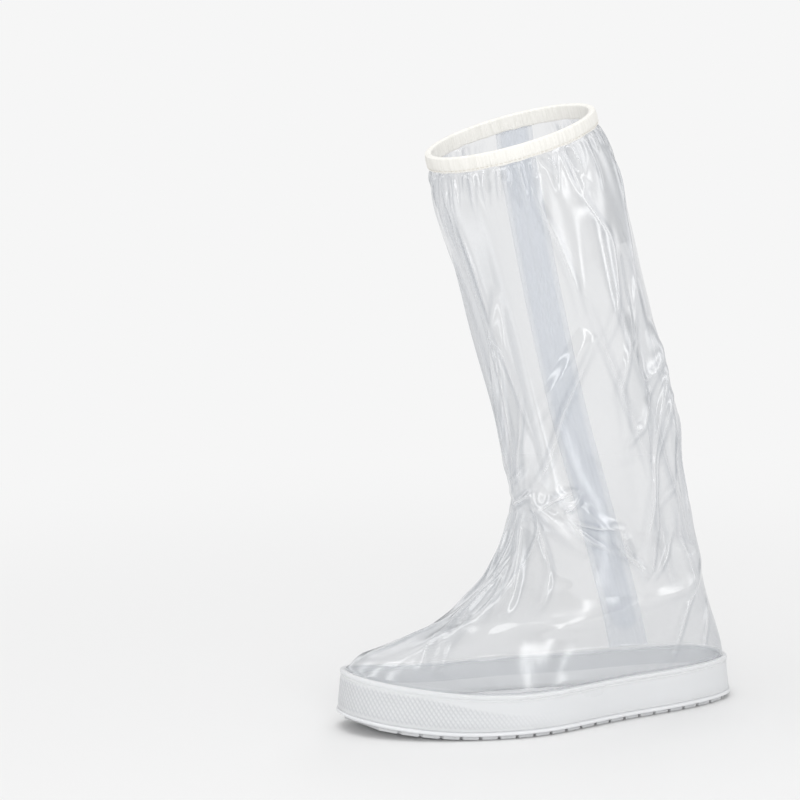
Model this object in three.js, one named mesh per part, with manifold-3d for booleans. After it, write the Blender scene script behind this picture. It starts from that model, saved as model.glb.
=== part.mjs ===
// A knee-high overshoe for the left foot: a clear film boot, gathered into an elastic binding at
// the top, on a moulded sole with a raised wall around the foot. Millimetres, +Z up. The toe points
// to -Y and the outer side of the foot is +X. The origin is on the floor under the sole's middle.
import * as THREE from "three";
import { mergeVertices } from "three/addons/utils/BufferGeometryUtils.js";
import Module from "manifold-3d";

// The sole's outline and how it curves up at the toe.
const soleLength = 312;
const ballWidth = 116;
const heelWidth = 90;
const waistPinch = 2;
const toeInflare = 24;
const toeSpring = 9;

// How full the sole's two ends are: 1 for an ellipse, less for a squarer end.
const toeFullness = 0.84;
const heelFullness = 0.68;

// The outsole: tread bars under a plate with a proud rim.
const treadDepth = 2.6;
const treadInset = 1.6;
const barPitch = 13.5;
const grooveWidth = 2.4;
const chevronAngle = 14;
const plateThickness = 3.6;
const rimProud = 1.3;
const rimThickness = 2.2;

// The wall that is moulded around the foot.
const sidewallHeight = 26;
const sidewallThickness = 2.6;
const sidewallLean = 2.6;
const toeBumperRise = 4.5;
const beadHeight = 3.4;
const beadProud = 0.9;

// The film boot.
const filmThickness = 1;
const filmTuck = 14;
const ankleHeight = 168;
const neckHeight = 435;
const ankleSetback = 47.5;
const shaftLean = 15;
const neckTilt = 15;
const ankleDepth = 146;
const ankleWidth = 106;
const calfDepth = 144;
const calfWidth = 127;
const neckDepth = 128;
const neckWidth = 110;
const gatherCount = 18;
const gatherDepth = 2.4;
const gatherLength = 66;

// The elastic binding around the film's top edge.
const bindingHeight = 12;
const bindingThickness = 1.9;
const bindingTurn = 9;

// The placket on the inner side, and the narrower flap with a round end that lies on it.
const placketTopWidth = 28;
const placketFootWidth = 32;
const placketThickness = 1;
const placketClearance = 1.6;
const placketTopShare = 0.71;
const placketFootShare = 0.8;
const flapWidth = 21;
const flapThickness = 0.9;
const flapRidgeWidth = 6;
const flapRidgeRise = 1.1;
const flapFootClearance = 15;

const seatGap = 0.35;
const sides = gatherCount * 4;
const bindingSides = 48;

const plateTop = treadDepth + plateThickness;
const sidewallFoot = plateTop + seatGap;
const sidewallTop = sidewallFoot + sidewallHeight;

// How much closer together the corners of the sole's outline are at its two ends.
const endCrowding = 0.25;

// Foot sections, from above the sidewall to below the ankle. front, back: shares of the sole's
// half length. frontUp, backUp: shares of the rise from the sidewall's top to the ankle.
// ball, heel: shares of the sole's two widths. soleLike: how much it still has the sole's form.
const footSections = [
  { front: 0.952, frontUp: 0.015, back: 0.966, backUp: 0.015, ball: 0.944, heel: 0.93, soleLike: 1 },
  { front: 0.892, frontUp: 0.095, back: 0.95, backUp: 0.089, ball: 0.9, heel: 0.93, soleLike: 1 },
  { front: 0.77, frontUp: 0.183, back: 0.93, backUp: 0.178, ball: 0.84, heel: 0.93, soleLike: 0.8 },
  { front: 0.618, frontUp: 0.272, back: 0.908, backUp: 0.273, ball: 0.78, heel: 0.94, soleLike: 0.5 },
  { front: 0.46, frontUp: 0.35, back: 0.885, backUp: 0.377, ball: 0.735, heel: 0.96, soleLike: 0.22 },
  { front: 0.316, frontUp: 0.452, back: 0.862, backUp: 0.488, ball: 0.72, heel: 0.99, soleLike: 0 },
  { front: 0.222, frontUp: 0.57, back: 0.842, backUp: 0.61, ball: 0.73, heel: 1.03, soleLike: 0 },
  { front: 0.17, frontUp: 0.705, back: 0.824, backUp: 0.745, ball: 0.77, heel: 1.08, soleLike: 0 },
  { front: 0.147, frontUp: 0.85, back: 0.806, backUp: 0.878, ball: 0.835, heel: 1.13, soleLike: 0 },
];

// Shaft sections from the ankle to the neck. up: share of the way. calf, neck: how much of its
// size is the calf's and the neck's; the rest is the ankle's. tilt: share of the neck's tilt.
const shaftSections = [
  { up: 0, calf: 0, neck: 0, tilt: 0.12 },
  { up: 0.085, calf: 0.4, neck: 0, tilt: 0.16 },
  { up: 0.21, calf: 0.8, neck: 0, tilt: 0.25 },
  { up: 0.41, calf: 1, neck: 0, tilt: 0.42 },
  { up: 0.585, calf: 1, neck: 0, tilt: 0.6 },
  { up: 0.76, calf: 0.8, neck: 0.2, tilt: 0.78 },
  { up: 0.9, calf: 0.6, neck: 0.4, tilt: 0.92 },
  { up: 1, calf: 0, neck: 1, tilt: 1 },
];

// Main folds of the film, each from one place to another. Angles: degrees from the toe over the
// outer side. up: shares of the height from floor to neck. reach, rise: shares of the calf's
// depth, a dent where the rise is negative.
const folds = [
  { fromAngle: 356, fromUp: 0.385, toAngle: 446, toUp: 0.7, reach: 0.045, rise: 0.041 },
  { fromAngle: 0, fromUp: 0.4, toAngle: 62, toUp: 0.58, reach: 0.06, rise: -0.027 },
  { fromAngle: 352, fromUp: 0.4, toAngle: 346, toUp: 0.82, reach: 0.05, rise: 0.032 },
  { fromAngle: 6, fromUp: 0.38, toAngle: 34, toUp: 0.13, reach: 0.045, rise: 0.035 },
  { fromAngle: 358, fromUp: 0.38, toAngle: 16, toUp: 0.14, reach: 0.045, rise: 0.032 },
  { fromAngle: 350, fromUp: 0.38, toAngle: 330, toUp: 0.16, reach: 0.05, rise: 0.032 },
  { fromAngle: 20, fromUp: 0.41, toAngle: 66, toUp: 0.3, reach: 0.055, rise: 0.041 },
  { fromAngle: 18, fromUp: 0.36, toAngle: 54, toUp: 0.24, reach: 0.06, rise: -0.032 },
  { fromAngle: 42, fromUp: 0.42, toAngle: 96, toUp: 0.3, reach: 0.05, rise: 0.035 },
  { fromAngle: 111, fromUp: 0.92, toAngle: 94, toUp: 0.46, reach: 0.1, rise: 0.049 },
  { fromAngle: 128, fromUp: 0.84, toAngle: 118, toUp: 0.42, reach: 0.06, rise: -0.03 },
  { fromAngle: 106, fromUp: 0.54, toAngle: 102, toUp: 0.24, reach: 0.045, rise: 0.038 },
  { fromAngle: 146, fromUp: 0.7, toAngle: 122, toUp: 0.3, reach: 0.055, rise: 0.041 },
  { fromAngle: 172, fromUp: 0.6, toAngle: 164, toUp: 0.24, reach: 0.06, rise: 0.03 },
  { fromAngle: 340, fromUp: 0.42, toAngle: 284, toUp: 0.74, reach: 0.05, rise: 0.038 },
  { fromAngle: 330, fromUp: 0.38, toAngle: 282, toUp: 0.34, reach: 0.05, rise: 0.035 },
  { fromAngle: 212, fromUp: 0.7, toAngle: 200, toUp: 0.34, reach: 0.06, rise: 0.03 },
];

const radians = THREE.MathUtils.degToRad;
const mix = THREE.MathUtils.lerp;
const smooth = THREE.MathUtils.smoothstep;
const soleHalf = soleLength / 2;
const fullTurn = Math.PI * 2;

// How far the sole's edge has risen off the floor at a share of its length, heel to toe.
function springAt(share) {
  const flatShare = 0.7;
  return toeSpring * Math.max(0, (share - flatShare) / (1 - flatShare)) ** 2;
}

// How much taller the sidewall is around the toe.
function bumperAt(share) {
  return toeBumperRise * smooth(share, 0.6, 0.97);
}

// The centre line's swing to the inner side at a share of the length.
function inflareAt(share) {
  return toeInflare * Math.max(0, (share - 0.5) / 0.5) ** 2;
}

// A point of a closed section, at an angle from the toe over the outer side.
function sectionPoint(section, angle) {
  const { front, back, ballHalf, heelHalf, soleLike } = section;
  const turned = angle - endCrowding * soleLike * Math.sin(2 * angle);
  const share = (1 + Math.cos(turned)) / 2;
  const widening = smooth(share, 0.25, 0.65);
  const fullness = mix(1, mix(heelFullness, toeFullness, widening), soleLike);
  const across = Math.sign(Math.sin(turned)) * Math.abs(Math.sin(turned)) ** fullness;
  const forward = mix(back.forward, front.forward, share);
  const soleShare = (forward / soleHalf + 1) / 2;
  const pinch = soleLike * waistPinch * Math.exp(-(((share - 0.4) / 0.14) ** 2));
  const half = mix(heelHalf, ballHalf, widening) - pinch;
  const lift = soleLike * (springAt(soleShare) + bumperAt(soleShare));
  return new THREE.Vector3(
    half * across - soleLike * inflareAt(soleShare),
    -forward,
    mix(back.up, front.up, share) + lift,
  );
}

// The sole's own outline, moved in by an inset, at a height above the floor.
function soleSection(inset, up) {
  return {
    front: { forward: soleHalf - inset, up },
    back: { forward: -soleHalf + inset, up },
    ballHalf: ballWidth / 2 - inset,
    heelHalf: heelWidth / 2 - inset,
    soleLike: 1,
  };
}

// How far the sidewall leans in at a height.
function leanAt(up) {
  return (sidewallLean * (up - sidewallFoot)) / sidewallHeight;
}

function footSection(row) {
  const rise = ankleHeight - sidewallTop;
  return {
    front: { forward: soleHalf * row.front, up: sidewallTop + rise * row.frontUp },
    back: { forward: -soleHalf * row.back, up: sidewallTop + rise * row.backUp },
    ballHalf: (ballWidth / 2) * row.ball,
    heelHalf: (heelWidth / 2) * row.heel,
    soleLike: row.soleLike,
  };
}

// A tilted section of the shaft, around its leaning centre line.
function shaftSection({ up, calf, neck, tilt }) {
  const height = mix(ankleHeight, neckHeight, up);
  const centre = (height - ankleHeight) * Math.tan(radians(shaftLean)) - ankleSetback;
  const depth = ankleDepth * (1 - calf - neck) + calfDepth * calf + neckDepth * neck;
  const width = ankleWidth * (1 - calf - neck) + calfWidth * calf + neckWidth * neck;
  const forward = (depth / 2) * Math.cos(radians(neckTilt * tilt));
  const drop = (depth / 2) * Math.sin(radians(neckTilt * tilt));
  return {
    front: { forward: centre + forward, up: height - drop },
    back: { forward: centre - forward, up: height + drop },
    ballHalf: width / 2,
    heelHalf: width / 2,
    soleLike: 0,
  };
}

// A section moved along the neck's own axis, as the film's top edge is.
function aboveNeck(section, distance) {
  const ahead = distance * Math.sin(radians(neckTilt));
  const up = distance * Math.cos(radians(neckTilt));
  const moved = (end) => ({ forward: end.forward + ahead, up: end.up + up });
  return { ...section, front: moved(section.front), back: moved(section.back) };
}

const insideSidewall = sidewallThickness + seatGap;
const neckSection = shaftSection(shaftSections.at(-1));
const filmSections = [
  soleSection(leanAt(sidewallTop - filmTuck) + insideSidewall, sidewallTop - filmTuck),
  soleSection(leanAt(sidewallTop) + insideSidewall, sidewallTop + seatGap),
  ...footSections.map(footSection),
  ...shaftSections.map(shaftSection),
  aboveNeck(neckSection, bindingTurn),
];
const edgeRow = filmSections.length - 1;
const neckRow = edgeRow - 1;
const footRows = 2 + footSections.length;

// A smooth curve through the sections' values, at a row number that may be a fraction.
function between(read, row) {
  const first = Math.min(Math.floor(row), edgeRow - 1);
  const [before, start, end, after] = [-1, 0, 1, 2].map((step) =>
    read(filmSections[THREE.MathUtils.clamp(first + step, 0, edgeRow)]),
  );
  const t = row - first;
  return (
    (2 * t ** 3 - 3 * t ** 2 + 1) * start +
    (t ** 3 - 2 * t ** 2 + t) * ((end - before) / 2) +
    (3 * t ** 2 - 2 * t ** 3) * end +
    (t ** 3 - t ** 2) * ((after - start) / 2)
  );
}

function sectionAt(row) {
  const endAt = (end) => ({
    forward: between((section) => section[end].forward, row),
    up: between((section) => section[end].up, row),
  });
  return {
    front: endAt("front"),
    back: endAt("back"),
    ballHalf: between((section) => section.ballHalf, row),
    heelHalf: between((section) => section.heelHalf, row),
    soleLike: THREE.MathUtils.clamp(between((section) => section.soleLike, row), 0, 1),
  };
}

function filmBase(angle, row) {
  return sectionPoint(sectionAt(row), angle);
}

function filmNormal(angle, row) {
  const turn = 0.02;
  const climb = 0.03;
  const low = Math.max(0, row - climb);
  const high = Math.min(edgeRow, row + climb);
  const around = filmBase(angle + turn, row).sub(filmBase(angle - turn, row));
  const upward = filmBase(angle, high).sub(filmBase(angle, low));
  return around.cross(upward).normalize();
}

// The value between two others at which a rising test first holds.
function bisect(low, high, isPast) {
  for (let step = 0; step < 26; step += 1) {
    const middle = (low + high) / 2;
    if (isPast(middle)) high = middle;
    else low = middle;
  }
  return (low + high) / 2;
}

// The row at which the film passes a height, at one angle.
function rowAtHeight(angle, height) {
  return bisect(0, edgeRow, (row) => filmBase(angle, row).z > height);
}

// The placket's middle runs straight up the inner side, seen from that side.
function placketForward(up) {
  const share = (up - sidewallTop) / (neckHeight - sidewallTop);
  const foot = soleHalf - soleLength * placketFootShare;
  const { front, back } = neckSection;
  const top = mix(front.forward, back.forward, placketTopShare);
  return mix(foot, top, share);
}

function placketAngle(row) {
  const section = sectionAt(row);
  return bisect(radians(185), radians(320), (angle) => {
    const point = sectionPoint(section, angle);
    return -point.y > placketForward(point.z);
  });
}

// Where the film lies flat under the placket (0) and where it is free to fold (1).
function freeToFold(angle, row) {
  const away = Math.abs(angle - placketAngle(row)) * (calfWidth / 2);
  return smooth(away, placketFootWidth * 0.65, placketFootWidth * 1.2);
}

// The fine gathers that the elastic pulls in under the neck.
function gatherRelief(angle, point) {
  const below = sectionPoint(neckSection, angle).z - point.z;
  const length = gatherLength * (0.8 + 0.2 * Math.cos(5 * angle));
  const fade = smooth(below, 0, gatherLength / 6) * (1 - smooth(below, gatherLength / 4, length));
  return gatherDepth * fade * Math.cos(gatherCount * angle);
}

const foldSteps = 6;

function foldSpine(fold) {
  return Array.from({ length: foldSteps + 1 }, (_, step) => {
    const share = step / foldSteps;
    const angle = radians(mix(fold.fromAngle, fold.toAngle, share));
    const height = neckHeight * mix(fold.fromUp, fold.toUp, share);
    return filmBase(angle, rowAtHeight(angle, height));
  });
}

const foldSpines = folds.map(foldSpine);

// A fold's height over the film at a point: a soft ridge that runs out at both ends.
function foldRelief(fold, spine, point) {
  let nearest = Infinity;
  let share = 0;
  for (let step = 0; step < foldSteps; step += 1) {
    const line = new THREE.Line3(spine[step], spine[step + 1]);
    const along = line.closestPointToPointParameter(point, true);
    const distance = line.at(along, new THREE.Vector3()).distanceTo(point);
    if (distance < nearest) {
      nearest = distance;
      share = (step + along) / foldSteps;
    }
  }
  const runOut = 1 - (2 * share - 1) ** 4;
  return calfDepth * fold.rise * runOut * Math.exp(-((nearest / (calfDepth * fold.reach)) ** 2));
}

// How far folds and gathers lift the film at a point of its plain form.
function filmRelief(angle, row, point) {
  const firstTurn = ((angle % fullTurn) + fullTurn) % fullTurn;
  let relief = gatherRelief(firstTurn, point);
  folds.forEach((fold, index) => {
    relief += foldRelief(fold, foldSpines[index], point);
  });
  return relief * freeToFold(firstTurn, row) * smooth(row, 1.5, 3);
}

// A point of the film, moved out from its outer face by an offset.
function filmPoint(angle, row, offset) {
  const point = filmBase(angle, row);
  const normal = filmNormal(angle, row);
  return point.addScaledVector(normal, filmRelief(angle, row, point) + offset);
}

// Geometry from a list of points and of triangles, turned so that its faces point out.
function solidGeometry(points, triangles) {
  let volume = 0;
  for (const [a, b, c] of triangles) {
    volume += points[a].dot(points[b].clone().cross(points[c]));
  }
  const facing = volume < 0 ? triangles.map(([a, b, c]) => [a, c, b]) : triangles;
  const geometry = new THREE.BufferGeometry().setFromPoints(points);
  geometry.setIndex(facing.flat());
  geometry.computeVertexNormals();
  return geometry;
}

// The quads between rings of equal length; a closed list of rings also joins last to first.
function skinTriangles(rings, closed) {
  const corners = rings[0].length;
  const triangles = [];
  const joins = closed ? rings.length : rings.length - 1;
  for (let ring = 0; ring < joins; ring += 1) {
    const here = ring * corners;
    const above = ((ring + 1) % rings.length) * corners;
    for (let corner = 0; corner < corners; corner += 1) {
      const next = (corner + 1) % corners;
      triangles.push([here + corner, here + next, above + next]);
      triangles.push([here + corner, above + next, above + corner]);
    }
  }
  return triangles;
}

// A hollow wall, open at both ends: its rings run up one face and down the other.
function wallGeometry(rings) {
  return solidGeometry(rings.flat(), skinTriangles(rings, true));
}

// A solid through rings, with a lid at each end. A lid's rungs join its two long sides: a corner
// and its partner, whose numbers add up to pairSum.
function loftGeometry(rings, pairSum) {
  const corners = rings[0].length;
  const lastRing = (rings.length - 1) * corners;
  const triangles = skinTriangles(rings, false);
  for (let rung = 0; rung < pairSum / 2 - 0.5; rung += 1) {
    const ends = [rung, rung + 1, pairSum - rung - 1, pairSum - rung];
    const [a, b, c, d] = ends.map((corner) => corner % corners);
    const faces = [[a, b, c], [a, c, d]].filter((face) => new Set(face).size === 3);
    for (const face of faces) {
      triangles.push([...face].reverse());
      triangles.push(face.map((corner) => corner + lastRing));
    }
  }
  return solidGeometry(rings.flat(), triangles);
}

// A solid through rings that each run along one side of a band and back along its other side.
function bandGeometry(rings) {
  return loftGeometry(rings, rings[0].length - 1);
}

function ringOf(count, pointAt) {
  return Array.from({ length: count }, (_, side) => pointAt((side / count) * fullTurn));
}

// The film's rows of corners: each section, and more along the shaft.
const shaftSteps = [0, 1, 2, 6].map((step) => footRows + step + 0.5);
const meshRows = [...filmSections.keys(), ...shaftSteps].sort((a, b) => a - b);

function filmGeometry() {
  const outer = meshRows.map((row) => ringOf(sides, (angle) => filmPoint(angle, row, 0)));
  const inner = meshRows.map((row) =>
    ringOf(sides, (angle) => filmPoint(angle, row, -filmThickness)),
  );
  return wallGeometry([...outer, ...inner.reverse()]);
}

// The sidewall's two faces, from its foot to its top, in shares of its height. The outer face
// steps out into a bead under its top edge; the inner face is plain.
function sidewallGeometry() {
  const beadShare = 1 - beadHeight / sidewallHeight;
  const beadEase = (0.15 * beadHeight) / sidewallHeight;
  const outerFace = [
    { share: 0, proud: 0 },
    { share: beadShare - beadEase, proud: 0 },
    { share: beadShare, proud: 0.75 * beadProud },
    { share: (1 + beadShare) / 2, proud: beadProud },
    { share: 1 - beadEase, proud: 0.75 * beadProud },
    { share: 1, proud: 0 },
  ];
  const innerFace = [1, 0].map((share) => ({ share, proud: -sidewallThickness }));
  const rings = [...outerFace, ...innerFace].map(({ share, proud }) => {
    const up = sidewallFoot + sidewallHeight * share;
    const section = soleSection(leanAt(up) - proud, up);
    return ringOf(sides, (angle) => {
      const point = sectionPoint(section, angle);
      const soleShare = (1 - point.y / soleHalf) / 2;
      point.z -= bumperAt(soleShare) * (1 - share);
      return point;
    });
  });
  return wallGeometry(rings);
}

// The sole's edge at a place forward of its middle, on the outer (1) or the inner side (-1).
function soleEdge(forward, side) {
  const section = soleSection(treadInset, 0);
  const angle = bisect(0, Math.PI, (turn) => -sectionPoint(section, turn).y < forward);
  return sectionPoint(section, side * angle).x;
}

// One chevron bar of the tread, cut off at the sole's edge. Its corners run from the inner edge
// over the middle to the outer edge.
function barGeometry(forward) {
  const slope = Math.tan(radians(chevronAngle));
  const reach = (barPitch - grooveWidth) / 2;
  const limit = soleHalf - treadInset - 0.5;
  const corner = (edge, across) => {
    const ahead = THREE.MathUtils.clamp(forward + edge, -limit, limit);
    const sweep = Math.abs(across) * (ballWidth / 2) * slope;
    const place = THREE.MathUtils.clamp(ahead - sweep, -limit, limit);
    const share = (place / soleHalf + 1) / 2;
    const x = mix(-inflareAt(share), soleEdge(place, Math.sign(across) || 1), Math.abs(across));
    return { x, y: -place, spring: springAt(share) };
  };
  const across = [-1, -0.5, 0, 0.5, 1];
  const frontEdge = across.map((share) => corner(reach, share));
  const backEdge = across.map((share) => corner(-reach, share)).reverse();
  const ring = (up) =>
    [...frontEdge, ...backEdge].map(({ x, y, spring }) => new THREE.Vector3(x, y, up + spring));
  return bandGeometry([ring(0), ring(treadDepth + plateThickness / 3)]);
}

// The plate over the bars, with a rim that stands proud all around.
function plateGeometry() {
  const rimFoot = treadDepth + (plateThickness - rimThickness) / 2;
  const profile = [
    { up: treadDepth, inset: treadInset / 2 },
    { up: rimFoot, inset: -rimProud * 0.8 },
    { up: rimFoot + rimThickness / 2, inset: -rimProud },
    { up: rimFoot + rimThickness, inset: -rimProud * 0.8 },
    { up: plateTop, inset: 0 },
  ];
  const rings = profile.map(({ up, inset }) =>
    ringOf(sides, (angle) => {
      const point = sectionPoint(soleSection(inset, up), angle);
      point.z -= bumperAt((1 - point.y / soleHalf) / 2);
      return point;
    }),
  );
  return loftGeometry(rings, sides);
}

const wasm = await Module();
wasm.setup();

function solidFrom(geometry) {
  const bare = new THREE.BufferGeometry();
  bare.setAttribute("position", geometry.getAttribute("position"));
  bare.setIndex(geometry.getIndex());
  const merged = mergeVertices(bare, 1e-4);
  return new wasm.Manifold(
    new wasm.Mesh({
      numProp: 3,
      vertProperties: merged.getAttribute("position").array,
      triVerts: new Uint32Array(merged.getIndex().array),
    }),
  );
}

function geometryFrom(solid) {
  const mesh = solid.getMesh();
  const geometry = new THREE.BufferGeometry();
  geometry.setAttribute("position", new THREE.BufferAttribute(mesh.vertProperties, 3));
  geometry.setIndex(new THREE.BufferAttribute(mesh.triVerts, 1));
  geometry.computeVertexNormals();
  return geometry;
}

function outsoleGeometry() {
  let solid = solidFrom(plateGeometry());
  const barsEachWay = Math.floor((soleHalf - treadInset - barPitch / 2) / barPitch);
  for (let bar = -barsEachWay; bar <= barsEachWay; bar += 1) {
    solid = solid.add(solidFrom(barGeometry(bar * barPitch)));
  }
  return geometryFrom(solid);
}

// The binding: an upturned channel that is folded over the film's edge. out: from the film's
// outer face. up: along the neck's axis, from the neck.
function bindingGeometry() {
  const outside = seatGap + bindingThickness;
  const inside = -filmThickness - seatGap - bindingThickness;
  const roof = bindingTurn + seatGap;
  const ease = bindingThickness * 0.6;
  const profile = [
    { out: seatGap, up: seatGap },
    { out: outside, up: ease / 2 },
    { out: outside, up: bindingHeight - ease },
    { out: outside - ease, up: bindingHeight },
    { out: inside + ease, up: bindingHeight },
    { out: inside, up: bindingHeight - ease },
    { out: inside, up: ease / 2 },
    { out: -filmThickness - seatGap, up: seatGap },
    { out: -filmThickness - seatGap, up: roof },
    { out: seatGap, up: roof },
  ];
  const axis = new THREE.Vector3(0, -Math.sin(radians(neckTilt)), Math.cos(radians(neckTilt)));
  const rings = profile.map(({ out, up }) =>
    ringOf(bindingSides, (angle) => {
      const point = sectionPoint(neckSection, angle);
      const [before, after] = [-0.01, 0.01].map((turn) => sectionPoint(neckSection, angle + turn));
      const outward = after.sub(before).cross(axis).normalize();
      return point.addScaledVector(outward, out).addScaledVector(axis, up);
    }),
  );
  return wallGeometry(rings);
}

// A point over the placket's middle line: across in millimetres, lifted off the film's facets.
function placketPoint(row, across, lift) {
  const above = meshRows.findIndex((meshRow) => meshRow >= row);
  const ends = [meshRows[Math.max(0, above - 1)], meshRows[above]].map((end) => {
    const angle = placketAngle(end);
    const step = 0.01;
    const speed = filmBase(angle + step, end).distanceTo(filmBase(angle - step, end)) / (2 * step);
    return { row: end, point: filmPoint(angle + across / speed, end, lift) };
  });
  const share = (row - ends[0].row) / (ends[1].row - ends[0].row || 1);
  return ends[0].point.lerp(ends[1].point, share);
}

function rowAlongPlacket(height) {
  return bisect(0, edgeRow, (row) => placketPoint(row, 0, 0).z > height);
}

// A strip on the film from one row to another. widthAt gives its width at a row, and riseAt how
// much its outer face is raised at a distance across.
function stripGeometry(rows, lift, thickness, widthAt, riseAt) {
  const shares = [-1, -0.6, -0.2, 0.2, 0.6, 1];
  const rings = rows.map((row) => {
    const half = widthAt(row) / 2;
    const low = shares.map((share) => placketPoint(row, share * half, lift));
    const high = shares.map((share) =>
      placketPoint(row, share * half, lift + thickness + riseAt(share * half)),
    );
    return [...low, ...high.reverse()];
  });
  return bandGeometry(rings);
}

const placketTopRow = neckRow - 0.02;
const placketFootRow = rowAlongPlacket(sidewallTop + placketClearance);

function rowsBetween(low, high) {
  const apart = 0.1;
  return [low, ...meshRows.filter((row) => row > low + apart && row < high - apart), high];
}

function placketGeometry() {
  const widthAt = (row) => mix(placketFootWidth, placketTopWidth, row / neckRow);
  const rows = rowsBetween(placketFootRow, placketTopRow);
  return stripGeometry(rows, seatGap, placketThickness, widthAt, () => 0);
}

// The flap ends in a half circle near the placket's foot, and a soft ridge runs along its middle.
function flapGeometry() {
  const radius = flapWidth / 2;
  const footHeight = sidewallTop + flapFootClearance;
  const roundWidths = new Map();
  for (const share of [0.03, 0.2, 0.45, 0.75]) {
    const width = flapWidth * Math.sqrt(1 - (1 - share) ** 2);
    roundWidths.set(rowAlongPlacket(footHeight + radius * share), width);
  }
  const straightRows = rowsBetween(rowAlongPlacket(footHeight + radius), placketTopRow);
  const widthAt = (row) => roundWidths.get(row) ?? flapWidth;
  const riseAt = (across) => flapRidgeRise * Math.exp(-2 * (across / flapRidgeWidth) ** 2);
  const lift = seatGap * 2 + placketThickness;
  return stripGeometry([...roundWidths.keys(), ...straightRows], lift, flapThickness, widthAt, riseAt);
}

function piece(name, geometry, look) {
  const mesh = new THREE.Mesh(geometry, new THREE.MeshStandardMaterial(look));
  mesh.name = name;
  return mesh;
}

const clearFilm = { color: 0xe9eef1, roughness: 0.12, metalness: 0, transparent: true, opacity: 0.3 };
const frostedPvc = { color: 0xe6e9ec, roughness: 0.35, metalness: 0, transparent: true, opacity: 0.75 };
const whiteSole = { color: 0xd9dcde, roughness: 0.5, metalness: 0 };
const creamElastic = { color: 0xf1eee2, roughness: 0.85, metalness: 0 };
const milkyPvc = { color: 0xe3e8f0, roughness: 0.3, metalness: 0, transparent: true, opacity: 0.8 };

const overshoe = new THREE.Group();
overshoe.add(
  piece("outsole", outsoleGeometry(), whiteSole),
  piece("sidewall", sidewallGeometry(), frostedPvc),
  piece("upper_film", filmGeometry(), clearFilm),
  piece("top_binding", bindingGeometry(), creamElastic),
  piece("placket_strip", placketGeometry(), milkyPvc),
  piece("placket_flap", flapGeometry(), milkyPvc),
);

// The origin is under the middle of the whole.
const middle = new THREE.Box3().setFromObject(overshoe).getCenter(new THREE.Vector3());
overshoe.position.set(-middle.x, -middle.y, 0);

export default overshoe;
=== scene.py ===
import math

import bpy
import numpy as np
from mathutils import Euler, Matrix, Vector


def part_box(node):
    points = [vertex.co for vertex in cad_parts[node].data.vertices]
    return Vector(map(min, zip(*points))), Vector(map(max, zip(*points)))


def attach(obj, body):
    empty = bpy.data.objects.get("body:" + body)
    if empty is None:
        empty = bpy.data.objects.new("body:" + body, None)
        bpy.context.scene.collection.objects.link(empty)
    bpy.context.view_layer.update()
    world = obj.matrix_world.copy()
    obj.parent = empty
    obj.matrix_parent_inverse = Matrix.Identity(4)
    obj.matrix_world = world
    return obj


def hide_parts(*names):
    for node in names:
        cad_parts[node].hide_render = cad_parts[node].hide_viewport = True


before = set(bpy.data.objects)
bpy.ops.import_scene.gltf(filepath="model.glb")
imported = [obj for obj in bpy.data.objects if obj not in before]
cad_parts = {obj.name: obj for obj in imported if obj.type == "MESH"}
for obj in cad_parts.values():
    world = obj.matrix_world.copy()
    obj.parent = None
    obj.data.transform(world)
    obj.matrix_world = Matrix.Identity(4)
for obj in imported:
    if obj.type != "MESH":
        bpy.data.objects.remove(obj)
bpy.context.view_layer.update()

# Sizes of the part in metres, the same as its solids have.
SOLE_LENGTH = 0.312
BALL_WIDTH = 0.116
HEEL_WIDTH = 0.09
WAIST_PINCH = 0.002
TOE_INFLARE = 0.024
TOE_SPRING = 0.009
TOE_FULLNESS = 0.84
HEEL_FULLNESS = 0.68
TREAD_DEPTH = 0.0026
TREAD_INSET = 0.0016
BAR_PITCH = 0.0135
GROOVE_WIDTH = 0.0024
CHEVRON_ANGLE = 14
PLATE_THICKNESS = 0.0036
RIM_PROUD = 0.0013
RIM_THICKNESS = 0.0022
SIDEWALL_HEIGHT = 0.026
SIDEWALL_THICKNESS = 0.0026
SIDEWALL_LEAN = 0.0026
TOE_BUMPER_RISE = 0.0045
BEAD_HEIGHT = 0.0034
BEAD_PROUD = 0.0009
FILM_THICKNESS = 0.001
FILM_TUCK = 0.014
ANKLE_HEIGHT = 0.168
NECK_HEIGHT = 0.435
ANKLE_SETBACK = 0.0475
SHAFT_LEAN = 15
NECK_TILT = 15
ANKLE_DEPTH = 0.146
ANKLE_WIDTH = 0.106
CALF_DEPTH = 0.144
CALF_WIDTH = 0.127
NECK_DEPTH = 0.128
NECK_WIDTH = 0.11
GATHER_LENGTH = 0.066
BINDING_HEIGHT = 0.012
BINDING_THICKNESS = 0.0019
BINDING_TURN = 0.009
PLACKET_TOP_WIDTH = 0.028
PLACKET_FOOT_WIDTH = 0.032
PLACKET_THICKNESS = 0.001
PLACKET_CLEARANCE = 0.0016
PLACKET_TOP_SHARE = 0.71
PLACKET_FOOT_SHARE = 0.8
FLAP_WIDTH = 0.021
FLAP_THICKNESS = 0.0009
FLAP_RIDGE_WIDTH = 0.006
FLAP_RIDGE_RISE = 0.0011
FLAP_FOOT_CLEARANCE = 0.015
SEAT_GAP = 0.00035
END_CROWDING = 0.25

SOLE_HALF = SOLE_LENGTH / 2
PLATE_TOP = TREAD_DEPTH + PLATE_THICKNESS
SIDEWALL_FOOT = PLATE_TOP + SEAT_GAP
SIDEWALL_TOP = SIDEWALL_FOOT + SIDEWALL_HEIGHT
FULL_TURN = 2 * math.pi

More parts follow.
